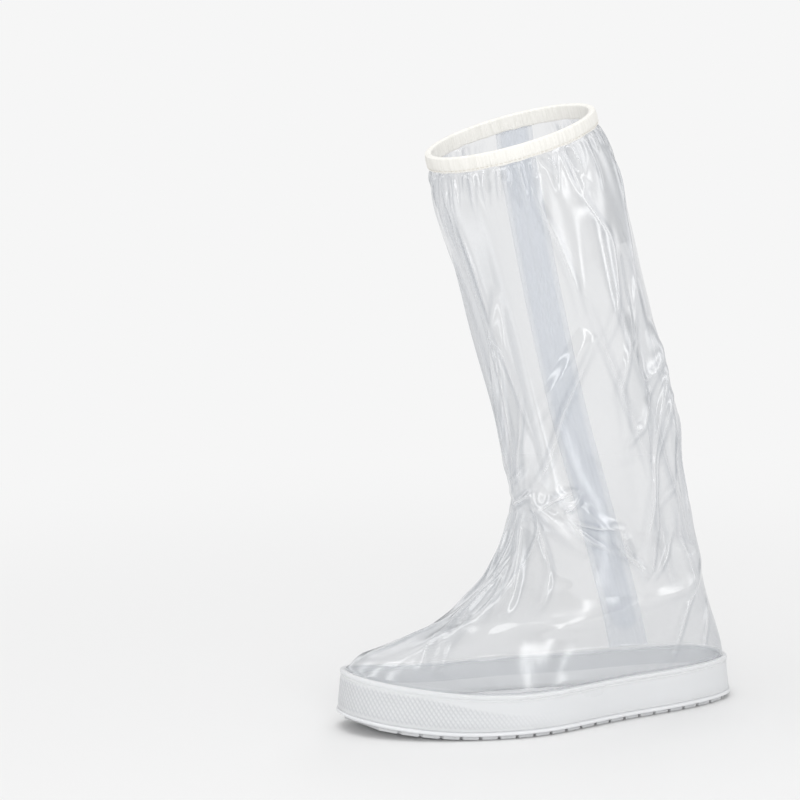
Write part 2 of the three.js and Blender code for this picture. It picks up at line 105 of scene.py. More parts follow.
# Foot sections: front, its rise, back, its rise, ball, heel, and how sole-like the section is.
FOOT_SECTIONS = [
    (0.952, 0.015, 0.966, 0.015, 0.944, 0.93, 1),
    (0.892, 0.095, 0.95, 0.089, 0.9, 0.93, 1),
    (0.77, 0.183, 0.93, 0.178, 0.84, 0.93, 0.8),
    (0.618, 0.272, 0.908, 0.273, 0.78, 0.94, 0.5),
    (0.46, 0.35, 0.885, 0.377, 0.735, 0.96, 0.22),
    (0.316, 0.452, 0.862, 0.488, 0.72, 0.99, 0),
    (0.222, 0.57, 0.842, 0.61, 0.73, 1.03, 0),
    (0.17, 0.705, 0.824, 0.745, 0.77, 1.08, 0),
    (0.147, 0.85, 0.806, 0.878, 0.835, 1.13, 0),
]

# Shaft sections: height share, calf share, neck share and tilt share.
SHAFT_SECTIONS = [
    (0, 0, 0, 0.12),
    (0.085, 0.4, 0, 0.16),
    (0.21, 0.8, 0, 0.25),
    (0.41, 1, 0, 0.42),
    (0.585, 1, 0, 0.6),
    (0.76, 0.8, 0.2, 0.78),
    (0.9, 0.6, 0.4, 0.92),
    (1, 0, 1, 1),
]


def mix(start, end, share):
    return start + (end - start) * share


def smooth(value, low, high):
    share = np.clip((value - low) / (high - low), 0, 1)
    return share * share * (3 - 2 * share)


def hump(distance, reach, power=2):
    """1 at no distance, falling to nearly 0 at twice the reach."""
    return np.exp(-((distance / reach) ** power))


def unit(vectors):
    return vectors / np.linalg.norm(vectors, axis=-1, keepdims=True)


def apart(angle, other):
    """The turn from other to angle, the short way round."""
    return np.angle(np.exp(1j * (angle - other)))


def even_turns(count):
    return np.arange(count) / count * FULL_TURN


def curve_between(before, start, end, after, t):
    """A Catmull-Rom curve's points from start to end."""
    return (
        (2 * t**3 - 3 * t**2 + 1) * start
        + (t**3 - 2 * t**2 + t) * (end - before) / 2
        + (3 * t**2 - 2 * t**3) * end
        + (t**3 - t**2) * (after - start) / 2
    )


def spring_at(share):
    return TOE_SPRING * np.maximum(0, (share - 0.7) / 0.3) ** 2


def bumper_at(share):
    return TOE_BUMPER_RISE * smooth(share, 0.6, 0.97)


def inflare_at(share):
    return TOE_INFLARE * np.maximum(0, (share - 0.5) / 0.5) ** 2


def section_point(section, angle):
    """Points of closed sections, at angles from the toe over the outer side."""
    columns = np.moveaxis(np.asarray(section, float), -1, 0)
    front, front_up, back, back_up, ball, heel, sole_like = columns
    turned = angle - END_CROWDING * sole_like * np.sin(2 * angle)
    share = (1 + np.cos(turned)) / 2
    widening = smooth(share, 0.25, 0.65)
    fullness = mix(1, mix(HEEL_FULLNESS, TOE_FULLNESS, widening), sole_like)
    across = np.sign(np.sin(turned)) * np.abs(np.sin(turned)) ** fullness
    forward = mix(back, front, share)
    sole_share = (forward / SOLE_HALF + 1) / 2
    pinch = sole_like * WAIST_PINCH * hump(share - 0.4, 0.14)
    half = mix(heel, ball, widening) - pinch
    lift = sole_like * (spring_at(sole_share) + bumper_at(sole_share))
    x = half * across - sole_like * inflare_at(sole_share)
    return np.stack([x, -forward, mix(back_up, front_up, share) + lift], axis=-1)


def sole_section(inset, up):
    front = SOLE_HALF - inset
    return (front, up, -front, up, BALL_WIDTH / 2 - inset, HEEL_WIDTH / 2 - inset, 1)


def share_along(points):
    """How far forward points are along the sole, from 0 at the heel to 1 at the toe."""
    return (1 - points[..., 1] / SOLE_HALF) / 2


def lean_at(up):
    return SIDEWALL_LEAN * (up - SIDEWALL_FOOT) / SIDEWALL_HEIGHT


def foot_section(front, front_up, back, back_up, ball, heel, sole_like):
    foot, rise = SIDEWALL_TOP, ANKLE_HEIGHT - SIDEWALL_TOP
    ends = (SOLE_HALF * front, foot + rise * front_up, -SOLE_HALF * back, foot + rise * back_up)
    return (*ends, BALL_WIDTH / 2 * ball, HEEL_WIDTH / 2 * heel, sole_like)


def shaft_section(up, calf, neck, tilt):
    height = mix(ANKLE_HEIGHT, NECK_HEIGHT, up)
    lean = math.tan(math.radians(SHAFT_LEAN))
    centre = (height - ANKLE_HEIGHT) * lean - ANKLE_SETBACK
    ankle = 1 - calf - neck
    depth = ANKLE_DEPTH * ankle + CALF_DEPTH * calf + NECK_DEPTH * neck
    width = ANKLE_WIDTH * ankle + CALF_WIDTH * calf + NECK_WIDTH * neck
    forward = depth / 2 * math.cos(math.radians(NECK_TILT * tilt))
    drop = depth / 2 * math.sin(math.radians(NECK_TILT * tilt))
    ends = (centre + forward, height - drop, centre - forward, height + drop)
    return (*ends, width / 2, width / 2, 0)


def above_neck(section, distance):
    ahead = distance * math.sin(math.radians(NECK_TILT))
    up = distance * math.cos(math.radians(NECK_TILT))
    front, front_up, back, back_up, ball, heel, sole_like = section
    return (front + ahead, front_up + up, back + ahead, back_up + up, ball, heel, sole_like)


INSIDE_SIDEWALL = SIDEWALL_THICKNESS + SEAT_GAP
FILM_FOOT = SIDEWALL_TOP - FILM_TUCK
NECK_SECTION = shaft_section(*SHAFT_SECTIONS[-1])
FILM_SECTIONS = np.array([
    sole_section(lean_at(FILM_FOOT) + INSIDE_SIDEWALL, FILM_FOOT),
    sole_section(lean_at(SIDEWALL_TOP) + INSIDE_SIDEWALL, SIDEWALL_TOP + SEAT_GAP),
    *[foot_section(*row) for row in FOOT_SECTIONS],
    *[shaft_section(*row) for row in SHAFT_SECTIONS],
    above_neck(NECK_SECTION, BINDING_TURN),
])
EDGE_ROW = len(FILM_SECTIONS) - 1
NECK_ROW = EDGE_ROW - 1


def section_at(row):
    """The film's section at row numbers that may be fractions."""
    row = np.asarray(row, float)
    first = np.minimum(np.floor(row), EDGE_ROW - 1).astype(int)
    near = [FILM_SECTIONS[np.clip(first + step, 0, EDGE_ROW)] for step in (-1, 0, 1, 2)]
    section = curve_between(*near, (row - first)[..., None])
    section[..., 6] = np.clip(section[..., 6], 0, 1)
    return section


def film_base(angle, row):
    return section_point(section_at(row), angle)


def film_normal(angle, row):
    turn, climb = 0.02, 0.03
    around = film_base(angle + turn, row) - film_base(angle - turn, row)
    high = np.minimum(EDGE_ROW, row + climb)
    upward = film_base(angle, high) - film_base(angle, np.maximum(0, row - climb))
    return unit(np.cross(around, upward))


def bisect(low, high, is_past, steps=26):
    """The values between low and high at which a rising test first holds."""
    low, high = np.array(low, float), np.array(high, float)
    for _ in range(steps):
        middle = (low + high) / 2
        past = is_past(middle)
        high = np.where(past, middle, high)
        low = np.where(past, low, middle)
    return (low + high) / 2


def row_at_height(angle, height):
    angle, height = np.broadcast_arrays(np.asarray(angle, float), height)
    zero = np.zeros(angle.shape)
    return bisect(zero, zero + EDGE_ROW, lambda row: film_base(angle, row)[..., 2] > height)


def placket_forward(up):
    share = (up - SIDEWALL_TOP) / (NECK_HEIGHT - SIDEWALL_TOP)
    foot = SOLE_HALF - SOLE_LENGTH * PLACKET_FOOT_SHARE
    return mix(foot, mix(NECK_SECTION[0], NECK_SECTION[2], PLACKET_TOP_SHARE), share)


def placket_angle(row):
    """Where the placket's middle is at a row: it runs straight up, seen from the inner side."""
    section = section_at(row)
    zero = np.zeros(np.shape(row))

    def ahead_of_placket(angle):
        point = section_point(section, angle)
        return -point[..., 1] > placket_forward(point[..., 2])

    low, high = math.radians(185), math.radians(320)
    return bisect(zero + low, zero + high, ahead_of_placket)


# The film's main folds, as the solid has them: start and end in degrees from the toe over the
# outer side and in shares of the neck's height, then reach and rise in shares of the calf's depth.
MAIN_FOLDS = [
    (356, 0.385, 446, 0.7, 0.045, 0.041),
    (0, 0.4, 62, 0.58, 0.06, -0.027),
    (352, 0.4, 346, 0.82, 0.05, 0.032),
    (6, 0.38, 34, 0.13, 0.045, 0.035),
    (358, 0.38, 16, 0.14, 0.045, 0.032),
    (350, 0.38, 330, 0.16, 0.05, 0.032),
    (20, 0.41, 66, 0.3, 0.055, 0.041),
    (18, 0.36, 54, 0.24, 0.06, -0.032),
    (42, 0.42, 96, 0.3, 0.05, 0.035),
    (111, 0.92, 94, 0.46, 0.1, 0.049),
    (128, 0.84, 118, 0.42, 0.06, -0.03),
    (106, 0.54, 102, 0.24, 0.045, 0.038),
    (146, 0.7, 122, 0.3, 0.055, 0.041),
    (172, 0.6, 164, 0.24, 0.06, 0.03),
    (340, 0.42, 284, 0.74, 0.05, 0.038),
    (330, 0.38, 282, 0.34, 0.05, 0.035),
    (212, 0.7, 200, 0.34, 0.06, 0.03),
]

# Fine creases: width and rise in millimetres, how much wider the left flank is than the right,
# then degrees and thousandths of the neck's height for each stop on the way.
CREASES = [
    (4.5, 2.6, 0.5, 24, 408, 35, 439, 42, 462, 52, 514, 62, 568, 70, 605, 80, 648, 90, 690),
    (2.6, 1.8, 0, 24, 408, 14, 394, -3, 377),
    (3.5, 1.5, -0.3, 33, 584, 25, 526, 15, 449, 11, 400),
    (3, 1.4, 0.3, 16, 600, 10, 507, 7, 447, 7, 395),
    (5, 1.8, 0, 14, 720, 14, 622, 12, 544, 11, 475, 6, 400),
    (4, 1.4, 0, -6, 660, -4, 540, -3, 450, 2, 385),
    (2, 2.4, 0.4, 22, 374, 36, 390, 46, 406, 54, 415, 60, 418),
    (1.7, 2, 0, 61, 418, 57, 402, 51, 387, 48, 376),
    (2, 2.5, 0.4, 47, 378, 56, 361, 66, 355, 77, 351, 84, 341),
    (1.7, 2.2, 0, 49, 376, 55, 350, 63, 328, 73, 312, 87, 290),
    (2.4, 2, 0, 77, 333, 83, 313, 89, 293, 96, 274, 104, 245),
    (2, 1.4, 0, 81, 340, 86, 314, 92, 290),
    (2.6, 2.3, 0.3, 142, 620, 129, 557, 117, 483, 107, 419, 99, 336, 101, 270),
    (2.4, 2, -0.3, 143, 580, 130, 532, 117, 449, 109, 384, 105, 300),
    (4, 1.9, 0, 133, 780, 123, 689, 117, 648, 116, 618, 119, 603, 127, 611, 135, 624, 146, 660),
    (7, 2.2, 0, 145, 660, 126, 593, 115, 559, 106, 532, 97, 512, 92, 490),
    (7, 2.2, 0, 124, 750, 107, 668, 98, 621, 94, 590, 94, 558, 92, 495),
    (3, 1.6, 0, 130, 528, 135, 496, 137, 460, 134, 435, 126, 406, 110, 366),
    (2.4, 2, 0, 76, 332, 85, 300, 94, 279, 104, 245),
    (2.6, 2, 0, 122, 330, 117, 291, 114, 276, 106, 243),
    (2.2, 1.2, 0, 102, 330, 104, 290, 105, 250),
    (5, 2, 0.3, 160, 260, 136, 203, 128, 177, 119, 126, 115, 85),
    (4, 1.3, 0, 160, 190, 138, 130, 130, 95),
    (2.6, 2.2, 0.2, 13, 300, 7, 263, 1, 227, 3, 204, 8, 191, 28, 172, 65, 98),
    (2.4, 1.9, -0.2, 6, 300, -3, 250, -5, 213, 0, 186, 12, 176, 43, 146, 61, 105),
    (2.8, 1.5, 0, 5, 182, 23, 160, 40, 140, 52, 118),
    (4, 1.4, 0, -6, 260, -10, 200, -8, 167, -3, 140, 2, 120),
    (3, 1.5, 0, 2, 280, 12, 243, 16, 228, 19, 207, 30, 182),
    (3, 1.7, 0.3, 11, 386, 2, 333, -4, 289, -6, 250),
    (2.8, 1.6, 0, 13, 384, 14, 339, 19, 289, 27, 235, 38, 190),
    (3, 1.5, 0, -3, 380, -10, 337, -13, 280, -15, 220),
    (3.4, 1.4, 0, 20, 370, 31, 320, 43, 270, 52, 200),
    (5, 2, 0.5, 76, 960, 75, 924, 78, 879, 81, 845, 84, 780, 84, 720),
    (9, 1.8, 0, 112, 950, 105, 928, 108, 885, 113, 836, 103, 733, 88, 660),
    (5, 1.6, 0, 14, 930, 14, 869, 14, 766, 17, 681, 21, 580),
    (5, 1.5, 0, 149, 980, 145, 930, 139, 859, 133, 775, 131, 687),
    (5, 1.6, 0, 125, 390, 129, 325, 137, 265, 140, 200),
    (6, 1.8, 0.3, 186, 860, 180, 700, 178, 550, 172, 420),
    (3, 1.7, 0, 170, 520, 164, 450, 160, 380, 152, 330),
    (3, 1.6, 0.3, 196, 500, 190, 420, 186, 330, 188, 240),
    (6, 1.8, 0, 205, 900, 207, 750, 204, 600, 198, 500),
    (4.5, 2.2, 0.4, 344, 400, 330, 450, 318, 520, 306, 600, 296, 680),
    (3, 1.8, 0, 340, 385, 326, 400, 312, 410, 300, 425),
    (2.6, 1.7, 0, 334, 370, 320, 360, 306, 370, 296, 365),
    (4, 1.8, 0, 348, 360, 338, 300, 326, 250, 312, 210),
    (3, 1.5, 0, 350, 330, 344, 270, 336, 210, 322, 150),
    (6, 1.8, 0, 335, 900, 333, 780, 330, 660, 322, 560),
    (5, 1.7, 0.3, 305, 900, 303, 800, 300, 700, 292, 560, 288, 460),
    (3, 1.5, 0, 300, 400, 297, 330, 300, 260, 308, 200),
    (5, 1.6, 0, 228, 720, 222, 600, 216, 480, 214, 380),
    (3.4, 1.5, 0, 216, 340, 214, 260, 212, 180),
    (2.6, 1.4, 0, 262, 360, 278, 330, 292, 345),
]

GATHER_RIPPLES = 46
FINE_GATHER_DEPTH = 0.0021
WIDE_GATHERS = 18
WIDE_GATHER_DEPTH = 0.0007
WAVE_DEPTH = 0.0004
CREASE_BOOST = 1.4
CREST_EDGE = 0.0005
CREST_HIGHLIGHT_HALF_WIDTH = 0.0014
FLANK_SHADE_DISTANCE = 0.0034
FLANK_SHADE_HALF_WIDTH = 0.0019
WELD_HALF_WIDTH = 0.0022

# Where the film stands out or lies in widely: height and reach up and down in metres, turn and
# reach around in degrees, rise in millimetres.
FULLNESS = [
    (0.098, 0.026, -15, 52, 3.6),
    (0.268, 0.096, -20, 64, -10),
    (0.395, 0.048, 160, 56, 1.8),
    (0.165, 0.046, 152, 52, -7),
]


def free_to_fold(angle, row):
    """0 where the film lies flat under the placket, 1 where it may fold."""
    away = np.abs(np.mod(angle, FULL_TURN) - placket_angle(row)) * CALF_WIDTH / 2
    return smooth(away, PLACKET_FOOT_WIDTH * 0.65, PLACKET_FOOT_WIDTH * 1.2)


def to_path(points, normals, path, reach):
    """Each near point's distance to a path, its share of the way, and the side it lies on."""
    low, high = path.min(0) - reach, path.max(0) + reach
    close = np.nonzero(((points > low) & (points < high)).all(-1))
    spots, facing = points[close], normals[close]
    best = np.full(len(spots), np.inf)
    share, side = np.zeros(len(spots)), np.zeros(len(spots))
    for step, (start, end) in enumerate(zip(path[:-1], path[1:])):
        way = end - start
        along = np.clip((spots - start) @ way / (way @ way), 0, 1)
        aside = spots - start - along[:, None] * way
        gap = np.linalg.norm(aside, axis=-1)
        nearer = gap < best
        best = np.where(nearer, gap, best)
        share = np.where(nearer, (step + along) / (len(path) - 1), share)
        turn = np.sign((np.cross(way, aside) * facing).sum(-1))
        side = np.where(nearer, turn, side)
    return close, best, share, side


def smooth_path(stops, steps):
    """A Catmull-Rom line through stops."""
    padded = np.vstack([2 * stops[0] - stops[1], stops, 2 * stops[-1] - stops[-2]])
    line = []
    for first in range(len(stops) - 1):
        near = padded[first : first + 4]
        line += [curve_between(*near, t) for t in np.arange(steps) / steps]
    return np.array([*line, stops[-1]])


def on_film(stops):
    """Film points at degrees and shares of the neck's height."""
    stops = np.asarray(stops, float)
    angle = np.radians(stops[:, 0])
    return film_base(angle, row_at_height(angle, stops[:, 1] * NECK_HEIGHT))


def main_fold_relief(points, normals):
    relief = np.zeros(points.shape[:-1])
    for from_angle, from_up, to_angle, to_up, reach, rise in MAIN_FOLDS:
        share = np.linspace(0, 1, 7)
        stops = np.stack([mix(from_angle, to_angle, share), mix(from_up, to_up, share)], -1)
        wide = CALF_DEPTH * reach
        close, gap, along, _ = to_path(points, normals, on_film(stops), 3 * wide)
        run_out = 1 - (2 * along - 1) ** 4
        relief[close] += CALF_DEPTH * rise * run_out * hump(gap, wide)
    return relief


def crease_relief(points, normals):
    """Sharp crests that thin out at both ends, where they are, and where their flanks are: the crest
    lines get a whiter haze that is partly a painted highlight, and the flanks get painted shade.
    """
    relief, crest_highlight_and_weld, painted_flank_shade = (np.zeros(points.shape[:-1]) for _ in range(3))
    for width, rise, lean, *way in CREASES:
        wide = width / 1000
        path = on_film(smooth_path(np.reshape(way, (-1, 2)) / (1, 1000), 4))
        close, gap, along, side = to_path(points, normals, path, 6 * wide)
        run_out = np.sin(math.pi * np.clip(along, 0, 1)) ** 0.6
        flank = wide * (1 + lean * side) * (0.45 + 0.55 * run_out)
        crest = np.exp(-(np.sqrt(gap**2 + CREST_EDGE**2) - CREST_EDGE) / flank)
        relief[close] += CREASE_BOOST * rise / 1000 * run_out * crest
        # Crest lines: a whiter haze, partly the film's own and partly a painted highlight.
        crest_highlight_and_weld[close] = np.maximum(crest_highlight_and_weld[close], run_out * hump(gap, CREST_HIGHLIGHT_HALF_WIDTH))
        # Painted shade beside each crest, stronger on one side.
        beside = hump(gap - FLANK_SHADE_DISTANCE, FLANK_SHADE_HALF_WIDTH) * np.where(side > 0, 1, 0.5)
        painted_flank_shade[close] = np.maximum(painted_flank_shade[close], run_out * beside)
    return relief, crest_highlight_and_weld, painted_flank_shade


def gather_relief(angle, points):
    """Uneven puckers under the binding, each a narrow loop that fades downwards.

    Returns their relief, how near each point is to a crest, which gets a whiter haze that is partly a
    painted highlight, and how near it is to a pucker's sides, which get painted shade.
    """
    dice = np.random.default_rng(11)
    below = section_point(NECK_SECTION, angle)[..., 2] - points[..., 2]
    relief, crests, sides = (np.zeros(angle.shape) for _ in range(3))
    for ripple in range(GATHER_RIPPLES):
        centre = (ripple + dice.uniform(-0.28, 0.28)) / GATHER_RIPPLES * FULL_TURN
        length = dice.choice([0.018, 0.028, 0.04, 0.062], p=[0.3, 0.34, 0.24, 0.12])
        length *= dice.uniform(0.8, 1.2)
        wide = dice.uniform(0.32, 0.5) / GATHER_RIPPLES * FULL_TURN
        drift = dice.uniform(-0.09, 0.09)
        strength = dice.uniform(0.6, 1.25) * (1 if dice.random() < 0.8 else -0.7)
        down = np.clip(below / length, 0, 1.4)
        away = apart(angle, centre + drift * down)
        taper = 1 - 0.55 * smooth(down, 0.25, 1)
        fade = smooth(below, -0.001, 0.0045) * (1 - smooth(down, 0.45, 1.05))
        relief += strength * fade * hump(away, wide * taper)
        # Thin crest lines, where a painted highlight goes, and the sides of each pucker, where painted
        # shade goes.
        crests = np.maximum(crests, fade * hump(away, wide * 0.2))
        sides = np.maximum(sides, fade * hump(np.abs(away) / (wide * taper) - 0.8, 0.35))
    base = smooth(below, 0, GATHER_LENGTH / 6) * (1 - smooth(below, GATHER_LENGTH / 4, GATHER_LENGTH))
    relief = FINE_GATHER_DEPTH * relief + WIDE_GATHER_DEPTH * base * np.cos(WIDE_GATHERS * angle)
    return relief, crests, sides


def wave_relief(points):
    """The film's faint unevenness, longer up and down than around."""
    dice = np.random.default_rng(5)
    relief = np.zeros(points.shape[:-1])
    for _ in range(24):
        around = dice.normal(0, 1, 2)
        around *= FULL_TURN / dice.uniform(0.03, 0.09) / np.linalg.norm(around)
        climb = FULL_TURN / dice.uniform(0.09, 0.3) * dice.choice([-1, 1])
        way = np.array([*around, climb])
        relief += np.sin(points @ way + dice.uniform(0, FULL_TURN)) * dice.uniform(0.4, 1)
    return WAVE_DEPTH * relief / 2.2


def film_relief(angle, row, points, normals):
    folds, crest_highlight_and_weld, painted_flank_shade = crease_relief(points, normals)
    gathers, crests, sides = gather_relief(angle, points)
    folds += main_fold_relief(points, normals) + gathers + wave_relief(points)
    up = points[..., 2]
    for height, reach, turn, spread, rise in FULLNESS:
        away = apart(angle, math.radians(turn))
        folds += rise / 1000 * hump(up - height, reach, 4) * hump(away, math.radians(spread), 4)
    free = free_to_fold(angle, row) * smooth(row, 1.5, 3)
    welded = hump(up - SIDEWALL_TOP - bumper_at(share_along(points)), WELD_HALF_WIDTH)
    # Crest lines and the weld at the sidewall's top get a whiter haze, which on the crests is partly a
    # painted highlight; the creases' flanks and the puckers' sides get painted shade.
    crest_highlight_and_weld = np.maximum(crest_highlight_and_weld, crests)
    painted_flank_shade = np.maximum(painted_flank_shade, 0.75 * sides)
    return folds * free, np.maximum(crest_highlight_and_weld * free, welded), painted_flank_shade * free


def new_object(name, data):
    made = bpy.data.objects.new(name, data)
    bpy.context.scene.collection.objects.link(made)
    return made


def new_mesh(name, points, faces, rounded=True):
    mesh = bpy.data.meshes.new(name)
    mesh.from_pydata(points.reshape(-1, 3).tolist(), [], faces)
    mesh.polygons.foreach_set("use_smooth", np.full(len(faces), rounded))
    mesh.validate()
    return new_object(name, mesh)


def skin(name, points, u, v, closed=True, looped=False):
    """A mesh of rings of points. u and v are its map in metres, with one more value where it closes."""
    rings, places = points.shape[:2]
    ring, place = (grid.ravel() for grid in np.indices((rings - 1 + looped, places - 1 + closed)))
    corner_ring = np.stack([ring, ring, ring + 1, ring + 1], -1)
    corner_place = np.stack([place, place + 1, place + 1, place], -1)
    quads = (corner_ring % rings) * places + corner_place % places
    piece = new_mesh(name, points, quads.tolist())
    flat = np.stack([u[corner_place], v[corner_ring]], -1).astype(np.float32)
    piece.data.uv_layers.new(name="Metres").data.foreach_set("uv", flat.reshape(-1))
    return piece


def closed_bars(name, bars, rounded=False):
    """A mesh of bars, each given as its profile's corners by stations along it, closed at both ends."""
    corners, stations = bars[0].shape[:2]
    numbers = np.arange(corners * stations).reshape(corners, stations)
    after = np.roll(numbers, -1, 0)
    sides = np.stack([numbers[:, :-1], numbers[:, 1:], after[:, 1:], after[:, :-1]], -1)
    faces = [*sides.reshape(-1, 4), numbers[:, 0], numbers[::-1, -1]]
    starts = np.arange(len(bars)) * numbers.size
    faces = [(face + start).tolist() for start in starts for face in faces]
    return new_mesh(name, np.array(bars), faces, rounded)


def add_value(piece, name, values):
    attribute = piece.data.attributes.new(name, "FLOAT", "POINT")
    attribute.data.foreach_set("value", np.asarray(values, np.float32).reshape(-1))


def running_total(steps):
    return np.concatenate([[0], np.cumsum(steps)])


def lengths_along(points):
    """How far along a line of points each one is."""
    return running_total(np.linalg.norm(np.diff(points, axis=0), axis=-1))


def place_on_frame(piece, material, slot, *nodes):
    piece.data.transform(Matrix.Translation(SHIFT))
    piece.data.materials.append(material)
    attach(piece, "root")
    if nodes:
        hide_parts(*nodes)
    return piece


# The origin is under the middle of the whole, so the form is moved as the solids are.
RIM_ACROSS = section_point(sole_section(-RIM_PROUD, 0), np.linspace(0, FULL_TURN, 721))[:, 0]
SOLE_LOW, SOLE_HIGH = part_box("outsole")
SOLE_MIDDLE = (SOLE_LOW + SOLE_HIGH) / 2
SHIFT = Vector((SOLE_MIDDLE.x - (RIM_ACROSS.min() + RIM_ACROSS.max()) / 2, SOLE_MIDDLE.y, 0))


class Finish:
    """A material and short ways to add its nodes."""

    def __init__(self, owner):
        self.owner = bpy.data.materials.new(owner) if isinstance(owner, str) else owner
        self.owner.use_nodes = True
        self.tree = self.owner.node_tree
        self.tree.nodes.clear()

    def add(self, kind, inputs=None, **settings):
        made = self.tree.nodes.new("ShaderNode" + kind)
        for name, value in settings.items():
            setattr(made, name, value)
        for name, value in (inputs or {}).items():
            socket = made.inputs[name]
            if isinstance(value, bpy.types.NodeSocket):
                self.tree.links.new(value, socket)
            else:
                socket.default_value = value
        return made

    def math(self, operation, *values, clamp=False):
        made = self.add("Math", dict(enumerate(values)), operation=operation, use_clamp=clamp)
        return made.outputs[0]

    def scaled(self, value, times, plus=0):
        return self.math("MULTIPLY_ADD", value, times, plus)

    def ranged(self, value, low, high, to_low, to_high):
        inputs = {"Value": value, "From Min": low, "From Max": high, "To Min": to_low, "To Max": to_high}
        return self.add("MapRange", inputs, interpolation_type="SMOOTHSTEP").outputs[0]

    def colours(self, share, first, second):
        """A mix of two colours, of which the first may be a socket."""
        first = first if isinstance(first, bpy.types.NodeSocket) else (*first, 1)
        inputs = {0: share, 6: first, 7: (*second, 1)}
        return self.add("Mix", inputs, data_type="RGBA").outputs[2]

    def vector(self, operation, *values, out=0):
        return self.add("VectorMath", dict(enumerate(values)), operation=operation).outputs[out]

    def coordinates(self, space):
        return self.add("TexCoord").outputs[space]

    def noise(self, scale, detail, stretch=(1, 1, 1), space="Object"):
        moved = self.add("Mapping", {"Vector": self.coordinates(space), "Scale": stretch}).outputs[0]
        inputs = {"Vector": moved, "Scale": scale, "Detail": detail}
        return self.add("TexNoise", inputs).outputs["Fac"]

    def across_and_along(self):
        parts = self.add("SeparateXYZ", {0: self.coordinates("UV")})
        return parts.outputs[0], parts.outputs[1]

    def wave(self, value, pitch):
        """A cosine wave from 0 to 1."""
        turns = self.scaled(value, FULL_TURN / pitch)
        return self.scaled(self.math("COSINE", turns), 0.5, 0.5)

    def value_of(self, name):
        return self.add("Attribute", attribute_name=name).outputs["Fac"]

    def bump(self, height, depth, under=None):
        inputs = {"Height": height, "Distance": depth, "Strength": 1.0}
        if under is not None:
            inputs["Normal"] = under
        return self.add("Bump", inputs).outputs[0]

    def shade(self, share, first, second):
        inputs = {0: share, 1: first.outputs[0], 2: second.outputs[0]}
        return self.add("MixShader", inputs)

    def thin(self, kind, colour, normal=None):
        """A shader of one colour, such as a transparent or a diffuse one."""
        inputs = {"Color": (*colour, 1) if isinstance(colour, tuple) else colour}
        if normal:
            inputs["Normal"] = normal
        return self.add(kind, inputs)

    def principled(self, colour, roughness, normal, **settings):
        inputs = {"Base Color": colour, "Roughness": roughness, "Normal": normal}
        inputs |= {name.replace("_", " "): value for name, value in settings.items()}
        return self.add("BsdfPrincipled", inputs)

    def finish(self, shader, out="OutputMaterial"):
        self.tree.links.new(shader.outputs[0], self.add(out).inputs["Surface"])
        return self.owner


def clear_film_finish():
    film = Finish("clear_film")
    crest_highlight_and_weld_mask = film.value_of("crest_highlight_and_weld")
    ripple = film.noise(80, 2, (1, 1, 0.2))
    grain = film.noise(900, 1)
    normal = film.bump(ripple, 0.00014)
    normal = film.bump(grain, 0.00001, normal)
    facing = film.add("LayerWeight", {"Blend": 0.5, "Normal": normal}).outputs["Facing"]
    plain_facing = film.add("LayerWeight", {"Blend": 0.5}).outputs["Facing"]
    shine = film.scaled(film.math("POWER", facing, 4.2), 0.86, 0.085)
    cloud = film.noise(22, 3, (1, 1, 0.5))
    haze = film.scaled(film.math("POWER", plain_facing, 2.6), 0.3, 0.03)
    # Whiter haze along the crests and the weld line: the film's own haze, and on the crests partly a
    # painted highlight.
    haze = film.math("ADD", haze, film.scaled(crest_highlight_and_weld_mask, 0.34))
    haze = film.math("ADD", haze, film.scaled(cloud, 0.05), clamp=True)
    depth = film.math("POWER", plain_facing, 1.5)
    # Painted shade beside the creases and along the puckers' sides darkens the tint further.
    depth = film.math("ADD", depth, film.scaled(film.value_of("painted_flank_shade"), 0.62), clamp=True)
    tint = film.colours(depth, (0.935, 0.939, 0.945), (0.66, 0.675, 0.7))
    clear = film.thin("BsdfTransparent", tint)
    milk_colour = (0.84, 0.855, 0.87)
    white = film.thin("BsdfDiffuse", milk_colour, normal)
    through = film.thin("BsdfTranslucent", milk_colour, normal)
    body = film.shade(haze, clear, film.shade(0.45, white, through))
    gloss = film.thin("BsdfGlossy", (1.0, 1.0, 1.0), normal)
    smear = film.ranged(film.noise(14, 3), 0.3, 0.7, 0.07, 0.15)
    film.tree.links.new(smear, gloss.inputs["Roughness"])
    return film.finish(film.shade(shine, body, gloss))


def sidewall_finish():
    wall = Finish("moulded_sidewall")
    _, along = wall.across_and_along()
    cloud = wall.noise(30, 4)
    low = wall.ranged(along, 0.0, 0.009, 1, 0)
    scuff = wall.math("MULTIPLY", low, wall.noise(120, 4), clamp=True)
    colour = wall.colours(cloud, (0.885, 0.89, 0.896), (0.935, 0.938, 0.942))
    colour = wall.colours(wall.ranged(along, 0.008, 0.024, 0, 0.75), colour, (0.955, 0.957, 0.96))
    colour = wall.colours(wall.scaled(scuff, 0.3), colour, (0.72, 0.73, 0.74))
    # Painted shade: darker colour in the knurl's grooves.
    colour = wall.colours(wall.value_of("painted_groove_shade"), colour, (0.42, 0.43, 0.45))
    normal = wall.bump(wall.noise(420, 3), 0.00006)
    rough = wall.ranged(cloud, 0.3, 0.7, 0.26, 0.4)
    body = wall.principled(colour, rough, normal, IOR=1.53, Coat_Weight=0.35, Coat_Roughness=0.12)
    through = wall.thin("BsdfTranslucent", (0.93, 0.94, 0.95), normal)
    clear = wall.thin("BsdfTransparent", (0.95, 0.955, 0.962))
    facing = wall.add("LayerWeight", {"Blend": 0.5}).outputs["Facing"]
    milky = wall.shade(0.4, body, through)
    return wall.finish(wall.shade(wall.ranged(facing, 0, 0.8, 0.14, 0.03), milky, clear))


